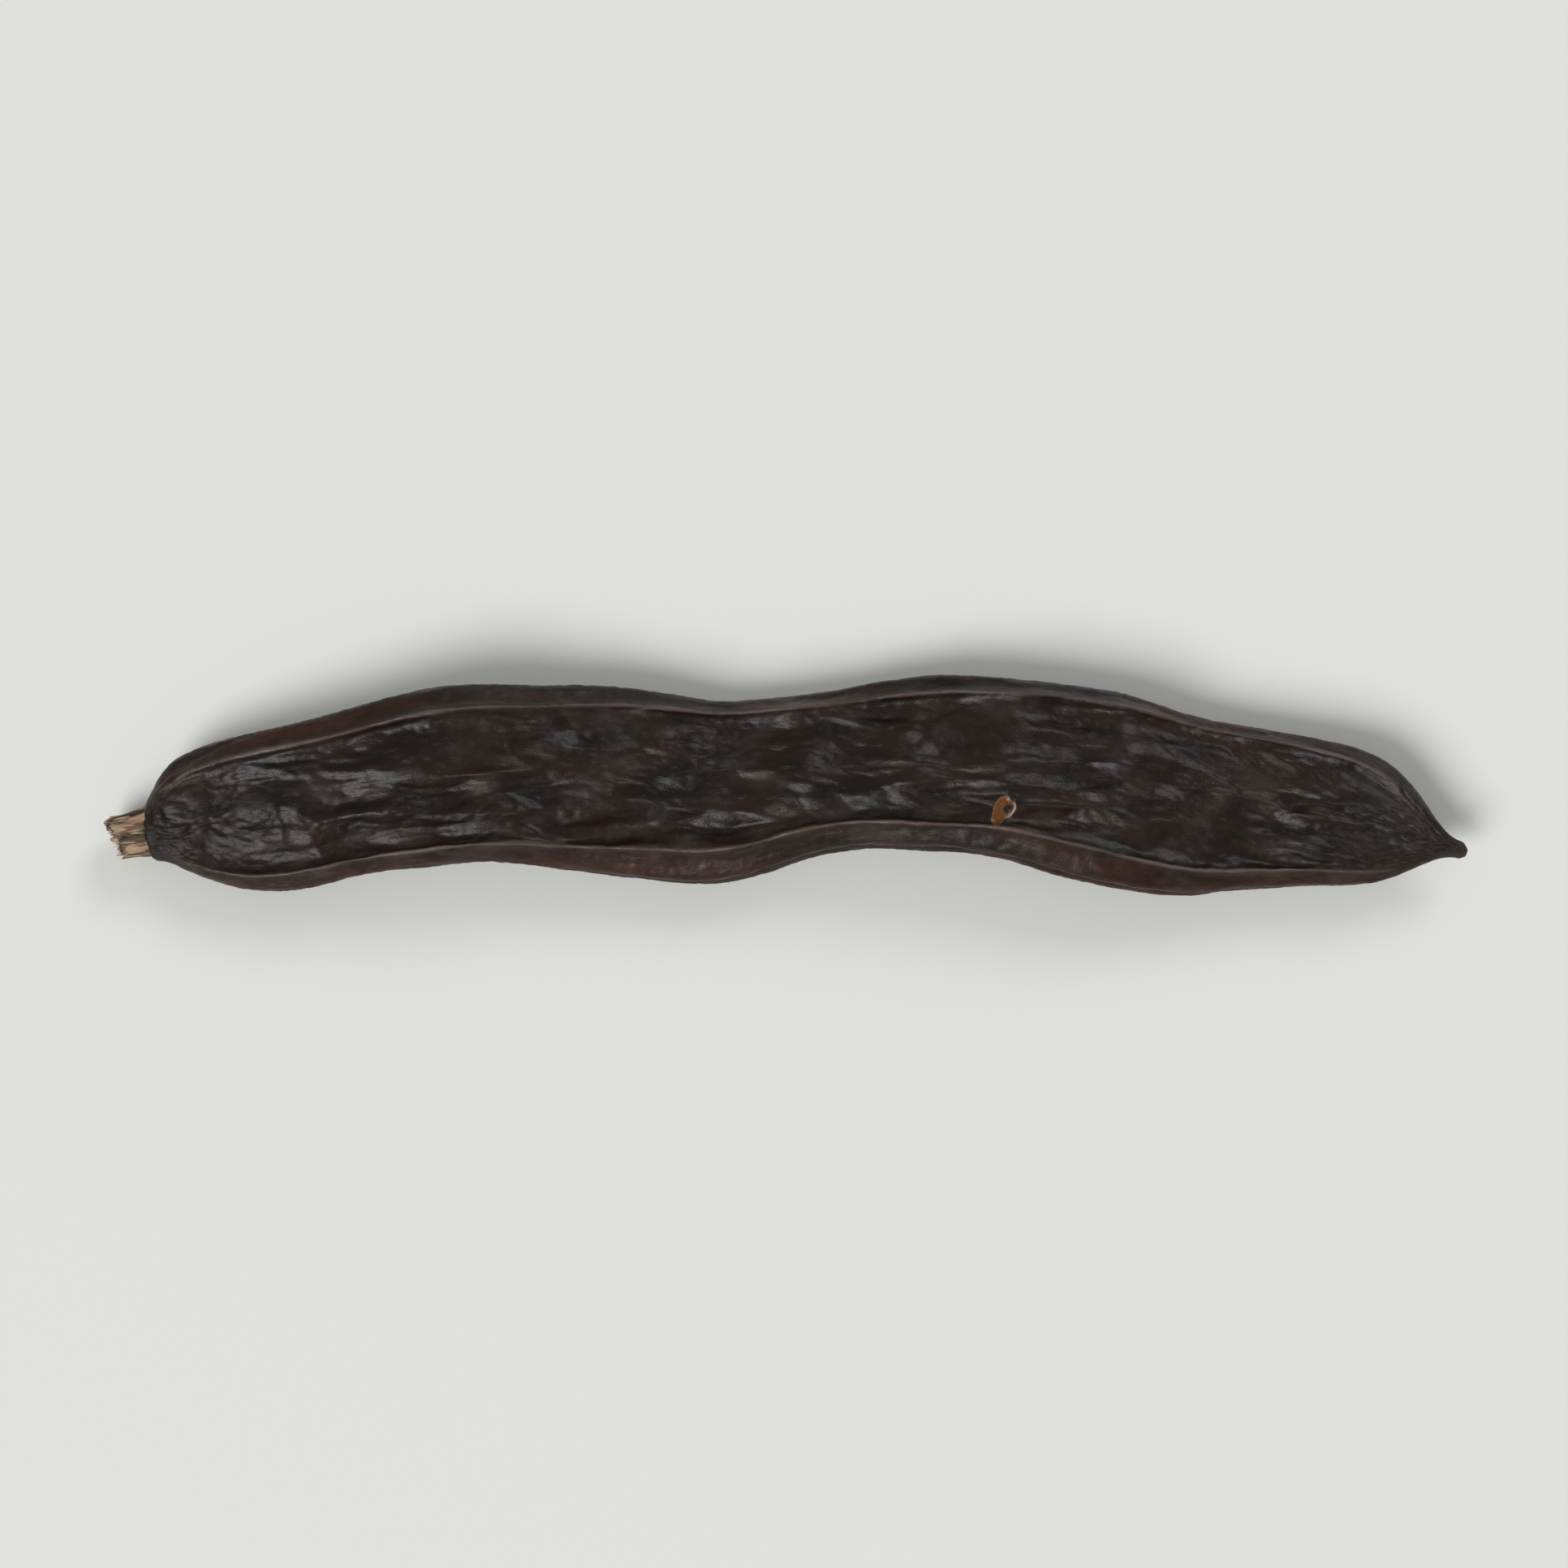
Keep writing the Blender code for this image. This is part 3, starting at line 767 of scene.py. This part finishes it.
# Distances from the middle of the scar or of its hole, 1 at the rim, where a mask is 0 and 1
TORN_FRAYED = 0.34  # how much the grain frays the next two
TORN_EDGE = 1.34, 1.27
RIM_EDGE = 1.10, 1.24
HOLE_EDGE = 1.15, 0.70
GLINT_AT = 1.45  # the painted glint: a pale crescent beside the hole
GLINT_EDGE = 0.30, 0.12
GLINT_SIDE = 0.2, 0.9

HUSK_ROUGH = 0.34
ROUGHER_BY = {"hollow": 0.22, "bloom": 0.14, "pores": 0.10, "torn": -0.14, "hole": 0.40}
HUSK_GLOSS = {"Specular IOR Level": 0.25, "Coat Weight": 0.05, "Coat Roughness": 0.28}


def husk_finish():
    """Dried husk: black and brown patches, redder borders, pale worn crests, faint bloom, and
    painted light: a pale line on each ridge that is partly wear and partly painted highlight,
    painted shade in the hollows and the torn spot's hole, and a painted glint beside the hole.
    """
    material = bpy.data.materials.new("dried husk")
    material.use_nodes = True
    tree = material.node_tree
    shader = tree.nodes["Principled BSDF"]
    place = layer(tree, "grown", "Vector")
    hollow, border = layer(tree, "hollow"), layer(tree, "border")
    brown = placed(tree, mottle, {"Place": place, **BROWN_PATCHES})["Mask"]
    red = placed(tree, mottle, {"Place": place, **RED_PATCHES})["Mask"]
    streaks = placed(tree, mottle, {"Place": place, **DARK_STREAKS})["Mask"]
    bloom = placed(tree, mottle, {"Place": place, **BLOOM_PATCHES})["Mask"]
    fibre = placed(tree, grain, {"Place": place, **HUSK_FIBRE})
    raised = {"Place": place, "Raised": layer(tree, "crest"), "Size": HUSK_WORN_CELL}
    worn = placed(tree, rubbed, raised)["Mask"]
    line = {"Value": layer(tree, "ridge"), **RIDGE_LINE}
    ridge = add(tree, "MapRange", line, interpolation_type="SMOOTHSTEP").outputs[0]

    colour = mixed(tree, brown, HUSK_BLACK, HUSK_BROWN)
    colour = laid_over(tree, colour, math_of(tree, "MULTIPLY", border, red), *HUSK_RED)
    colour = laid_over(tree, colour, math_of(tree, "MULTIPLY", border, streaks), *HUSK_STREAK)
    colour = laid_over(tree, colour, worn, *HUSK_CREST)
    # a pale line along each ridge, partly wear and partly a painted highlight
    colour = mixed(tree, ridge, colour, HUSK_RIDGE_WEAR_AND_HIGHLIGHT)
    # painted shade in the creases and hollows, by how sunk a place is
    colour = laid_over(tree, colour, hollow, *HUSK_HOLLOW_SHADE)
    colour = laid_over(tree, colour, bloom, *HUSK_BLOOM)
    colour = laid_over(tree, colour, layer(tree, "tip"), *HUSK_TIP)

    from_torn, from_hole = layer(tree, "from_torn"), layer(tree, "from_hole")
    frayed = math_of(tree, "MULTIPLY_ADD", fibre["Height"], TORN_FRAYED, from_torn)
    torn, hole = ramp(tree, frayed, *TORN_EDGE), ramp(tree, from_hole, *HOLE_EDGE)
    flesh = laid_over(tree, PULP, fibre["Pores"], *PULP_DEEP)
    flesh = laid_over(tree, flesh, ramp(tree, frayed, *RIM_EDGE), PULP_RIM_AND_GLINT, PULP_RIM_COVER)
    # the hole painted near black as painted shade
    colour = mixed(tree, torn, colour, mixed(tree, hole, flesh, HUSK_PIT_SHADE))
    # A painted glint: a pale crescent beside the hole, on its right.
    off_glint = math_of(tree, "ABSOLUTE", math_of(tree, "SUBTRACT", from_hole, GLINT_AT))
    right_of_it = ramp(tree, layer(tree, "beside_hole"), *GLINT_SIDE)
    glint = math_of(tree, "MULTIPLY", ramp(tree, off_glint, *GLINT_EDGE), right_of_it)
    colour = mixed(tree, glint, colour, PULP_RIM_AND_GLINT)
    tree.links.new(colour, shader.inputs["Base Color"])

    masks = {"hollow": hollow, "bloom": bloom, "pores": fibre["Pores"], "torn": torn, "hole": hole}
    rough = HUSK_ROUGH
    for name, more in ROUGHER_BY.items():
        rough = math_of(tree, "MULTIPLY_ADD", masks[name], more, rough)
    tree.links.new(rough, shader.inputs["Roughness"])
    relief = add(tree, "Bump", {"Height": fibre["Height"], **HUSK_BUMP})
    tree.links.new(relief.outputs[0], shader.inputs["Normal"])
    for name, value in HUSK_GLOSS.items():
        shader.inputs[name].default_value = value
    return material


husk.data.materials.append(husk_finish())

# The stub of the stalk: a short woody stump, seated in the pod's neck, of coarse fibres that tore
# unevenly where the pod was pulled off. It is dry and pale, with painted shade in the clefts
# between the bands.

STUB_OUT = 0.0043
STUB_WIDTH = 0.0062
STUB_THICKNESS = 0.0054
STUB_TAPER = 0.80
STUB_TAPER_POWER = 0.8
STUB_WAIST = 0.03  # how much narrower it is in the neck, as a share
STUB_WAIST_TO = 0.0006, 3  # where half of that is made up, and how sharply
STUB_SLANT = 0.0009
STUB_SLANT_TO = 2.6  # radians round it to the side where the broken end is cut back
STUB_GAP = 0.0003
STUB_SQUARE = 2.6  # 2 would be an ellipse
STUB_RIBS = 7
STUB_RIB_UNEVEN = 1.5  # radians by which the ribs crowd and spread
STUB_RIB_LEAN = 2.0  # radians that they turn along the stub
STUB_RIB_ASTRAY = 0.9
STUB_RIB_START = 0.8
STUB_CROWD_START = 0.7

STUMP_SIDE_ROWS = 130
STUMP_END_ROWS = 50
STUMP_AROUND = 420
STUMP_CROWDING = 1.15  # power that crowds the side's rows towards the broken end
STUMP_INMOST = 0.02  # share of the radius of the broken end's first row
STUMP_DRAWN_IN = 0.93
BAND_DEPTH = 0.20  # share of the radius, as in the next ones
STRAND_DEPTH = 0.11
THREAD_DEPTH = 0.055
BAND_LEVEL = 0.9  # height of a band that stands level with the radius
STRANDS = 0.0060, 3.4  # length of a noise cell, and a sixth of the cells round the stub
THREADS = 0.0035, 11.0
RIB_DRIFT = 0.0035, 1.6
TEAR = 0.00085  # how much the fibres' torn ends differ in length
TORN_BACK = 0.45, 0.75, 0.45  # shares of it: the mean, by strand and by thread
TORN_MOST = 1.6
EDGE_WORN = 0.16, 0.00022  # how much the side narrows at its torn edge, and over what length
# The next three set the painted shade in the clefts between the bands and the strands.
BAND_CLEFT_SHADE = 1.35, 1.6  # darkness between the bands, less this much at a band's height of 1
STRAND_CLEFT_SHADE = 0.25, 1.8, 0.7  # what is left out, the rise with depth and the most
THREADS_IN_CLEFT_SHADE = 0.2
THREADS_IN_CRESTS = 0.6
HOLLOWED = 0.00055  # how deep the broken end sinks in its middle
CLUMPS = 0.00045, 0.0008  # height and size of the lumps of broken fibres on it
FIBRE_ENDS = 0.00024, 0.00028
# Painted shade in the pits of the broken end's face.
END_PIT_SHADE = 0.45, 0.9, 0.7  # darkness on it: the mean, and less by clump and by fibre
END_FRESH = 0.7  # how pale and newly torn it is
EDGE_FRESH = 0.8, 0.0006
BARK_AT = 0.32, 1.66, 2.95  # radians round the stub of the dark strips of skin left on it
BARK_HALF = 0.21
BARK_ASTRAY = 0.10
BARK_DRIFT = 0.0022, 2.4

CHANCE_STEPS = 12.9898, 78.233


def chance(index, salt):
    """A fixed value from 0 to 1 for each index, another one for each salt."""
    index_step, salt_step = CHANCE_STEPS
    return scattered(index * index_step + salt * salt_step)


def stub_outline(x, angle):
    """Half width and half thickness of the stub at x, and how square it is at the angle."""
    share = np.clip(-x / STUB_OUT, 0, 1)
    taper = 1 - (1 - STUB_TAPER) * share**STUB_TAPER_POWER
    taper = taper * (1 - STUB_WAIST * (1 - hill(-x, *STUB_WAIST_TO)))
    c, s = np.abs(np.cos(angle)), np.abs(np.sin(angle))
    square = (c**STUB_SQUARE + s**STUB_SQUARE) ** (-1 / STUB_SQUARE)
    return STUB_WIDTH / 2 * taper, STUB_THICKNESS / 2 * taper, square


def round_stub(x, angle, long, cells):
    """Places for a noise drawn out along the stub, with about 6 x cells of its cells round it."""
    x, angle = np.broadcast_arrays(x, angle)
    return np.stack([x / long, cells * np.cos(angle), cells * np.sin(angle)], -1)


def torn_edge(angle):
    """Where the fibres end at that angle: slanted, and longer and shorter by strand and thread."""
    strands = slopes(round_stub(0.0, angle, *STRANDS), 13)
    threads = slopes(round_stub(0.0, angle, *THREADS), 14)
    back, by_strand, by_thread = TORN_BACK
    edge = -STUB_OUT + STUB_SLANT * np.cos(angle - STUB_SLANT_TO)
    return edge + TEAR * np.clip(back + by_strand * strands + by_thread * threads, 0, TORN_MOST)


def fibrous(x, angle):
    """Relief of the stub's fibres as a share of its radius, and painted shade by the depth of its
    clefts.

    Bands as on the CAD stub, the root of a sine's size, with sharp clefts between them, then
    strands and threads, which are folded noise in ever finer cells.
    """
    astray = STUB_RIB_ASTRAY * slopes(round_stub(x, angle, *RIB_DRIFT), 19)
    phase = STUB_RIBS * angle + STUB_RIB_UNEVEN * np.sin(angle + STUB_CROWD_START)
    phase = phase + STUB_RIB_LEAN * x / STUB_OUT
    bands = np.sqrt(np.abs(np.sin(0.5 * (phase + astray) + STUB_RIB_START)))
    strands = ridged(slopes(round_stub(x, angle, *STRANDS), 11))
    threads = ridged(slopes(round_stub(x, angle, *THREADS), 12))
    relief = BAND_DEPTH * (bands - BAND_LEVEL) + STRAND_DEPTH * strands + THREAD_DEPTH * threads
    dark, fall = BAND_CLEFT_SHADE
    left_out, rise, most = STRAND_CLEFT_SHADE
    # how deep in a cleft a place is, which sets its painted shade
    cleft_shade = np.clip(dark - fall * bands, 0, 1) + np.clip(-rise * strands - left_out, 0, most)
    cleft_shade -= THREADS_IN_CLEFT_SHADE * threads
    return relief, np.clip(cleft_shade, 0, 1), np.clip(strands + THREADS_IN_CRESTS * threads, 0, 1)


def bark_left(x, angle):
    """How much of the stalk's dark skin is left: bumps round a few lines that lean along it."""
    x, angle = np.broadcast_arrays(x, angle)
    ragged = BARK_ASTRAY * slopes(round_stub(x, angle, *BARK_DRIFT), 21)
    spot = angle + STUB_RIB_LEAN / STUB_RIBS * x / STUB_OUT + ragged
    return sum(bump(spot - at, BARK_HALF) for at in BARK_AT)


def torn_stump():
    """The stump: its fibrous side from the broken end to the peg, and the broken end's own face.

    The side runs from the torn edge into the neck, where it narrows to the peg. The face closes
    the end: it sinks towards its middle and is rough with the ends of broken fibres.
    """
    turn = np.linspace(-math.pi, math.pi, STUMP_AROUND, endpoint=False)[None, :]
    edge = torn_edge(turn)
    run = np.linspace(0, 1, STUMP_SIDE_ROWS)[:, None] ** STUMP_CROWDING
    x = edge + (SOCKET_DEPTH - STUB_GAP - edge) * run
    relief, cleft_shade, crest = fibrous(x, turn)
    wide, thick, square = stub_outline(x, turn)
    narrowing, reach = EDGE_WORN
    swell = STUMP_DRAWN_IN * square * (1 + relief) * (1 - narrowing * bump(x - edge, reach))
    in_neck = x > 0.0
    y = np.where(in_neck, SOCKET_RADIUS - STUB_GAP, wide * swell) * np.cos(turn)
    z = np.where(in_neck, SOCKET_RADIUS - STUB_GAP, thick * swell) * np.sin(turn)
    paleness, reach = EDGE_FRESH
    fresh = paleness * bump(x - edge, reach)

    outward = np.linspace(STUMP_INMOST, 1, STUMP_END_ROWS, endpoint=False)[:, None]
    y_end, z_end = y[:1] * outward, z[:1] * outward
    face = np.stack([0 * y_end, y_end, z_end], -1)
    clumps, ends = slopes(face / CLUMPS[1], 15), slopes(face / FIBRE_ENDS[1], 16)
    slant = STUB_SLANT * np.cos(turn - STUB_SLANT_TO) * outward
    level = float(edge.mean()) + slant + HOLLOWED * (1 - outward**2)
    rough = (CLUMPS[0] * clumps + FIBRE_ENDS[0] * ends) * (1 - outward**8)
    x_end = level * (1 - outward**3) + edge * outward**3 + rough
    mean, by_clump, by_fibre = END_PIT_SHADE
    # painted shade in the low places of the broken end
    pit_shade = np.clip(mean - by_clump * clumps - by_fibre * ends, 0, 1)
    of_face = x_end, y_end, z_end, pit_shade, np.clip(ends, 0, 1), END_FRESH + 0 * y_end, 0 * y_end
    of_side = x, y, z, cleft_shade, crest, fresh, bark_left(x, turn)
    return [np.vstack(pair) for pair in zip(of_face, of_side)]


SPLINTERS = 26
SPLINTER_ROWS = 26
SPLINTER_AROUND = 8
SPLINTER_HALF = 0.00006, 0.00019
SPLINTER_LONG = 0.0012, 0.0036
SPLINTER_GIRTH = 0.03, 0.8  # start and length, in half turns, of the sine that its girth follows
SPLINTER_ASTRAY = 0.7  # share of the room between two of them
SPLINTER_OUT = 0.0005
SPLINTER_SHORTER = 0.0012  # how much farther back every third one may end
SPLINTER_SPLAY = 0.00045
SPLINTER_SEAT = 0.88  # share of the stub's radius at which their middle lies
# The first tone is painted shade that deepens towards each splinter's root, where it meets the
# stump.
SPLINTER_TONES = {"cleft_shade": 0.25, "crest": (0.2, 0.5), "fresh": 0.5, "bark": 0.6}


def torn_splinters():
    """Loose fibres that stand a little off the stump's skin and past its end.

    Each is a thin bar along the stump, half sunk in it at its root, that thins to a point and
    bends away from it: its offset grows with the square of the way to its tip.
    """
    index = np.arange(SPLINTERS)[:, None, None]
    spot = 2 * math.pi * (index + SPLINTER_ASTRAY * chance(index, 1)) / SPLINTERS
    short, long = SPLINTER_LONG
    tip = torn_edge(spot) + SPLINTER_OUT * (1.6 * chance(index, 4) - 1)
    tip = np.where(index % 3 == 0, tip + SPLINTER_SHORTER * chance(index, 3), tip)
    length = short + (long - short) * chance(index, 2)
    share = np.linspace(0, 1, SPLINTER_ROWS)[None, :, None]
    x = tip + length * share
    turn = np.linspace(-math.pi, math.pi, SPLINTER_AROUND, endpoint=False)[None, None, :]
    thin, thick = SPLINTER_HALF
    start, run = SPLINTER_GIRTH
    girth = np.sqrt(np.sin(math.pi * (start + run * share)))
    bar = (thin + (thick - thin) * chance(index, 5)) * girth
    wide, high, square = stub_outline(x, spot)
    away = SPLINTER_SPLAY * (1 - share) ** 2 * (chance(index, 6) - 0.35)
    aside = SPLINTER_SPLAY * (1 - share) ** 2 * (chance(index, 7) - 0.5) * 2
    lean = spot + STUB_RIB_LEAN / STUB_RIBS * x / STUB_OUT
    hold = SPLINTER_SEAT * square
    y = (wide * hold + away) * np.cos(lean) - aside * np.sin(lean) + bar * np.cos(turn)
    z = (high * hold + away) * np.sin(lean) + aside * np.cos(lean) + bar * np.sin(turn)
    x = x + 0 * y
    palest, more = SPLINTER_TONES["crest"]
    crest = palest + more * chance(index, 8) + 0 * y
    # painted shade, darker towards the root
    cleft_shade = SPLINTER_TONES["cleft_shade"] * share + 0 * y
    fresh = SPLINTER_TONES["fresh"] * (1 - share) + 0 * y
    return x, y, z, cleft_shade, crest, fresh, SPLINTER_TONES["bark"] * bark_left(x, spot)


stub_low, stub_high = (np.array(corner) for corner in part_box("stalk_stub"))


def woody(name, x, y, z, cleft_shade, crest, fresh, bark):
    """A piece of the stub, carried to its place and kept in the CAD stub's box."""
    layers = {"grown": np.stack([x, y, z], -1), "cleft_shade": cleft_shade, "crest": crest}
    layers.update(fresh=fresh, bark=bark)
    piece = closed_skins(name, np.clip(bent(x, y, z) + seat, stub_low, stub_high), layers)
    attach(piece, "root")
    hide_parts("stalk_stub")
    return piece


stump = woody("stalk_stump", *(values[None] for values in torn_stump()))
splinters = woody("stalk_splinters", *torn_splinters())

WOOD_TAN = (0.330, 0.215, 0.125)
WOOD_PALE = (0.560, 0.425, 0.290)
PALE_COVERS = {"streaks": 0.7, "fresh": 0.4, "worn": 0.7}
WOOD_ROSY = (0.370, 0.190, 0.125), 0.55
WOOD_BROWN = (0.095, 0.052, 0.026), 0.82
WOOD_BARK = (0.052, 0.034, 0.020), 0.85
# Painted shade: laid in the clefts, in the pits of the broken end and at the splinters' roots.
WOOD_CLEFT_SHADE = (0.022, 0.012, 0.007), 0.92

PALE_STREAKS = {"Long": 0.0030, "Wide": 0.00032, "Cover": 0.5, "Soft": 0.12}
ROSY_STREAKS = {"Long": 0.0040, "Wide": 0.0011, "Cover": 0.5, "Soft": 0.10}
BROWN_STREAKS = {"Long": 0.0034, "Wide": 0.0007, "Cover": 0.47, "Soft": 0.06}
WOOD_FIBRE = {"Long": 0.00110, "Wide": 0.00010}
WOOD_WORN_CELL = 0.0005
WOOD_BUMP = {"Strength": 0.8, "Distance": 0.00012}
WOOD_ROUGH = 0.15, 0.66  # how much rougher the fibres' crests are, and the rest
BARK_FRAYED = 0.5  # how much the grain frays the bark's edge
BARK_EDGE = 0.62, 0.88


def wood_finish():
    """Dry torn wood: tan, rosy and brown streaks along it, pale worn fibres, painted shade in
    clefts, matt.
    """
    material = bpy.data.materials.new("torn stalk")
    material.use_nodes = True
    tree = material.node_tree
    shader = tree.nodes["Principled BSDF"]
    place = layer(tree, "grown", "Vector")
    pale = placed(tree, mottle, {"Place": place, **PALE_STREAKS})["Mask"]
    rosy = placed(tree, mottle, {"Place": place, **ROSY_STREAKS})["Mask"]
    brown = placed(tree, mottle, {"Place": place, **BROWN_STREAKS})["Mask"]
    height = placed(tree, grain, {"Place": place, **WOOD_FIBRE})["Height"]
    raised = {"Place": place, "Raised": layer(tree, "crest"), "Size": WOOD_WORN_CELL}
    worn = placed(tree, rubbed, raised)["Mask"]
    frayed = math_of(tree, "MULTIPLY_ADD", height, BARK_FRAYED, layer(tree, "bark"))

    colour = laid_over(tree, WOOD_TAN, pale, WOOD_PALE, PALE_COVERS["streaks"])
    colour = laid_over(tree, colour, rosy, *WOOD_ROSY)
    colour = laid_over(tree, colour, brown, *WOOD_BROWN)
    colour = laid_over(tree, colour, layer(tree, "fresh"), WOOD_PALE, PALE_COVERS["fresh"])
    colour = laid_over(tree, colour, worn, WOOD_PALE, PALE_COVERS["worn"])
    colour = laid_over(tree, colour, ramp(tree, frayed, *BARK_EDGE), *WOOD_BARK)
    # painted shade in the clefts, the broken end's pits and the splinters' roots
    colour = laid_over(tree, colour, layer(tree, "cleft_shade"), *WOOD_CLEFT_SHADE)
    tree.links.new(colour, shader.inputs["Base Color"])

    rough = math_of(tree, "MULTIPLY_ADD", height, *WOOD_ROUGH)
    tree.links.new(rough, shader.inputs["Roughness"])
    relief = add(tree, "Bump", {"Height": height, **WOOD_BUMP})
    tree.links.new(relief.outputs[0], shader.inputs["Normal"])
    return material


wood = wood_finish()
stump.data.materials.append(wood)
splinters.data.materials.append(wood)

# The table: one plain flat square, pale and a little satin, that the pod lies on. It reaches so
# far past the picture that none of its edges show.

TABLE_HALF = 15.0
TABLE_PALE = (0.745, 0.752, 0.722, 1.0)
TABLE_ROUGH = 0.7

table_mesh = bpy.data.meshes.new("table")
corners = [(-TABLE_HALF, -TABLE_HALF, 0), (TABLE_HALF, -TABLE_HALF, 0)]
corners += [(TABLE_HALF, TABLE_HALF, 0), (-TABLE_HALF, TABLE_HALF, 0)]
table_mesh.from_pydata(corners, [], [(0, 1, 2, 3)])
table = bpy.data.objects.new("table", table_mesh)
bpy.context.scene.collection.objects.link(table)
pale = bpy.data.materials.new("pale table")
pale.use_nodes = True
pale.node_tree.nodes["Principled BSDF"].inputs["Base Color"].default_value = TABLE_PALE
pale.node_tree.nodes["Principled BSDF"].inputs["Roughness"].default_value = TABLE_ROUGH
table.data.materials.append(pale)

# The light: a wide soft one from the front left, a weaker one from behind on the right, and a
# pale room all round that fills the shadows.

SOFT_KEY = (-0.62, -0.80, 1.05), 2.35, math.radians(30)  # towards it, strength, how wide it looks
SOFT_BACK = (0.60, 0.90, 0.80), 0.85, math.radians(26)
ROOM_PALE = (0.99, 1.0, 0.985, 1.0)
ROOM_LIGHT = 0.30
ROOM_SEEN = 0.735  # brightness of the room behind the table, where the camera sees it

for name, (towards, strength, spread) in (("soft key", SOFT_KEY), ("soft back", SOFT_BACK)):
    light = bpy.data.lights.new(name, "SUN")
    light.energy = strength
    light.angle = spread
    lamp = bpy.data.objects.new(name, light)
    bpy.context.scene.collection.objects.link(lamp)
    lamp.rotation_euler = Vector(towards).to_track_quat("Z", "Y").to_euler()

room = bpy.data.worlds.new("pale room")
bpy.context.scene.world = room
room.use_nodes = True
sky = room.node_tree
seen = add(sky, "LightPath", {}).outputs["Is Camera Ray"]
strength = math_of(sky, "MULTIPLY_ADD", seen, ROOM_SEEN - ROOM_LIGHT, ROOM_LIGHT)
sky.nodes["Background"].inputs["Color"].default_value = ROOM_PALE
sky.links.new(strength, sky.nodes["Background"].inputs["Strength"])
bpy.context.scene.view_settings.view_transform = "Standard"

# The camera: it looks almost straight down from the front, at the middle of the pod, which lies
# across the picture. The lens is as long as the pod's share of the picture asks.

low, high = (np.array(corner) for corner in cad_box)
CAMERA_ELEVATION = math.radians(82.0)
CAMERA_DISTANCE = 0.45
POD_FILLS = 0.87  # share of the picture's width

lens = bpy.data.cameras.new("camera")
camera = bpy.data.objects.new("camera", lens)
bpy.context.scene.collection.objects.link(camera)
bpy.context.scene.camera = camera
back = (0.0, -math.cos(CAMERA_ELEVATION), math.sin(CAMERA_ELEVATION))
camera.location = Vector((low + high) / 2) + CAMERA_DISTANCE * Vector(back)
camera.rotation_euler = (math.pi / 2 - CAMERA_ELEVATION, 0.0, 0.0)
lens.sensor_width = 36.0
lens.lens = lens.sensor_width * CAMERA_DISTANCE * POD_FILLS / (high[0] - low[0])
lens.clip_start = 0.01
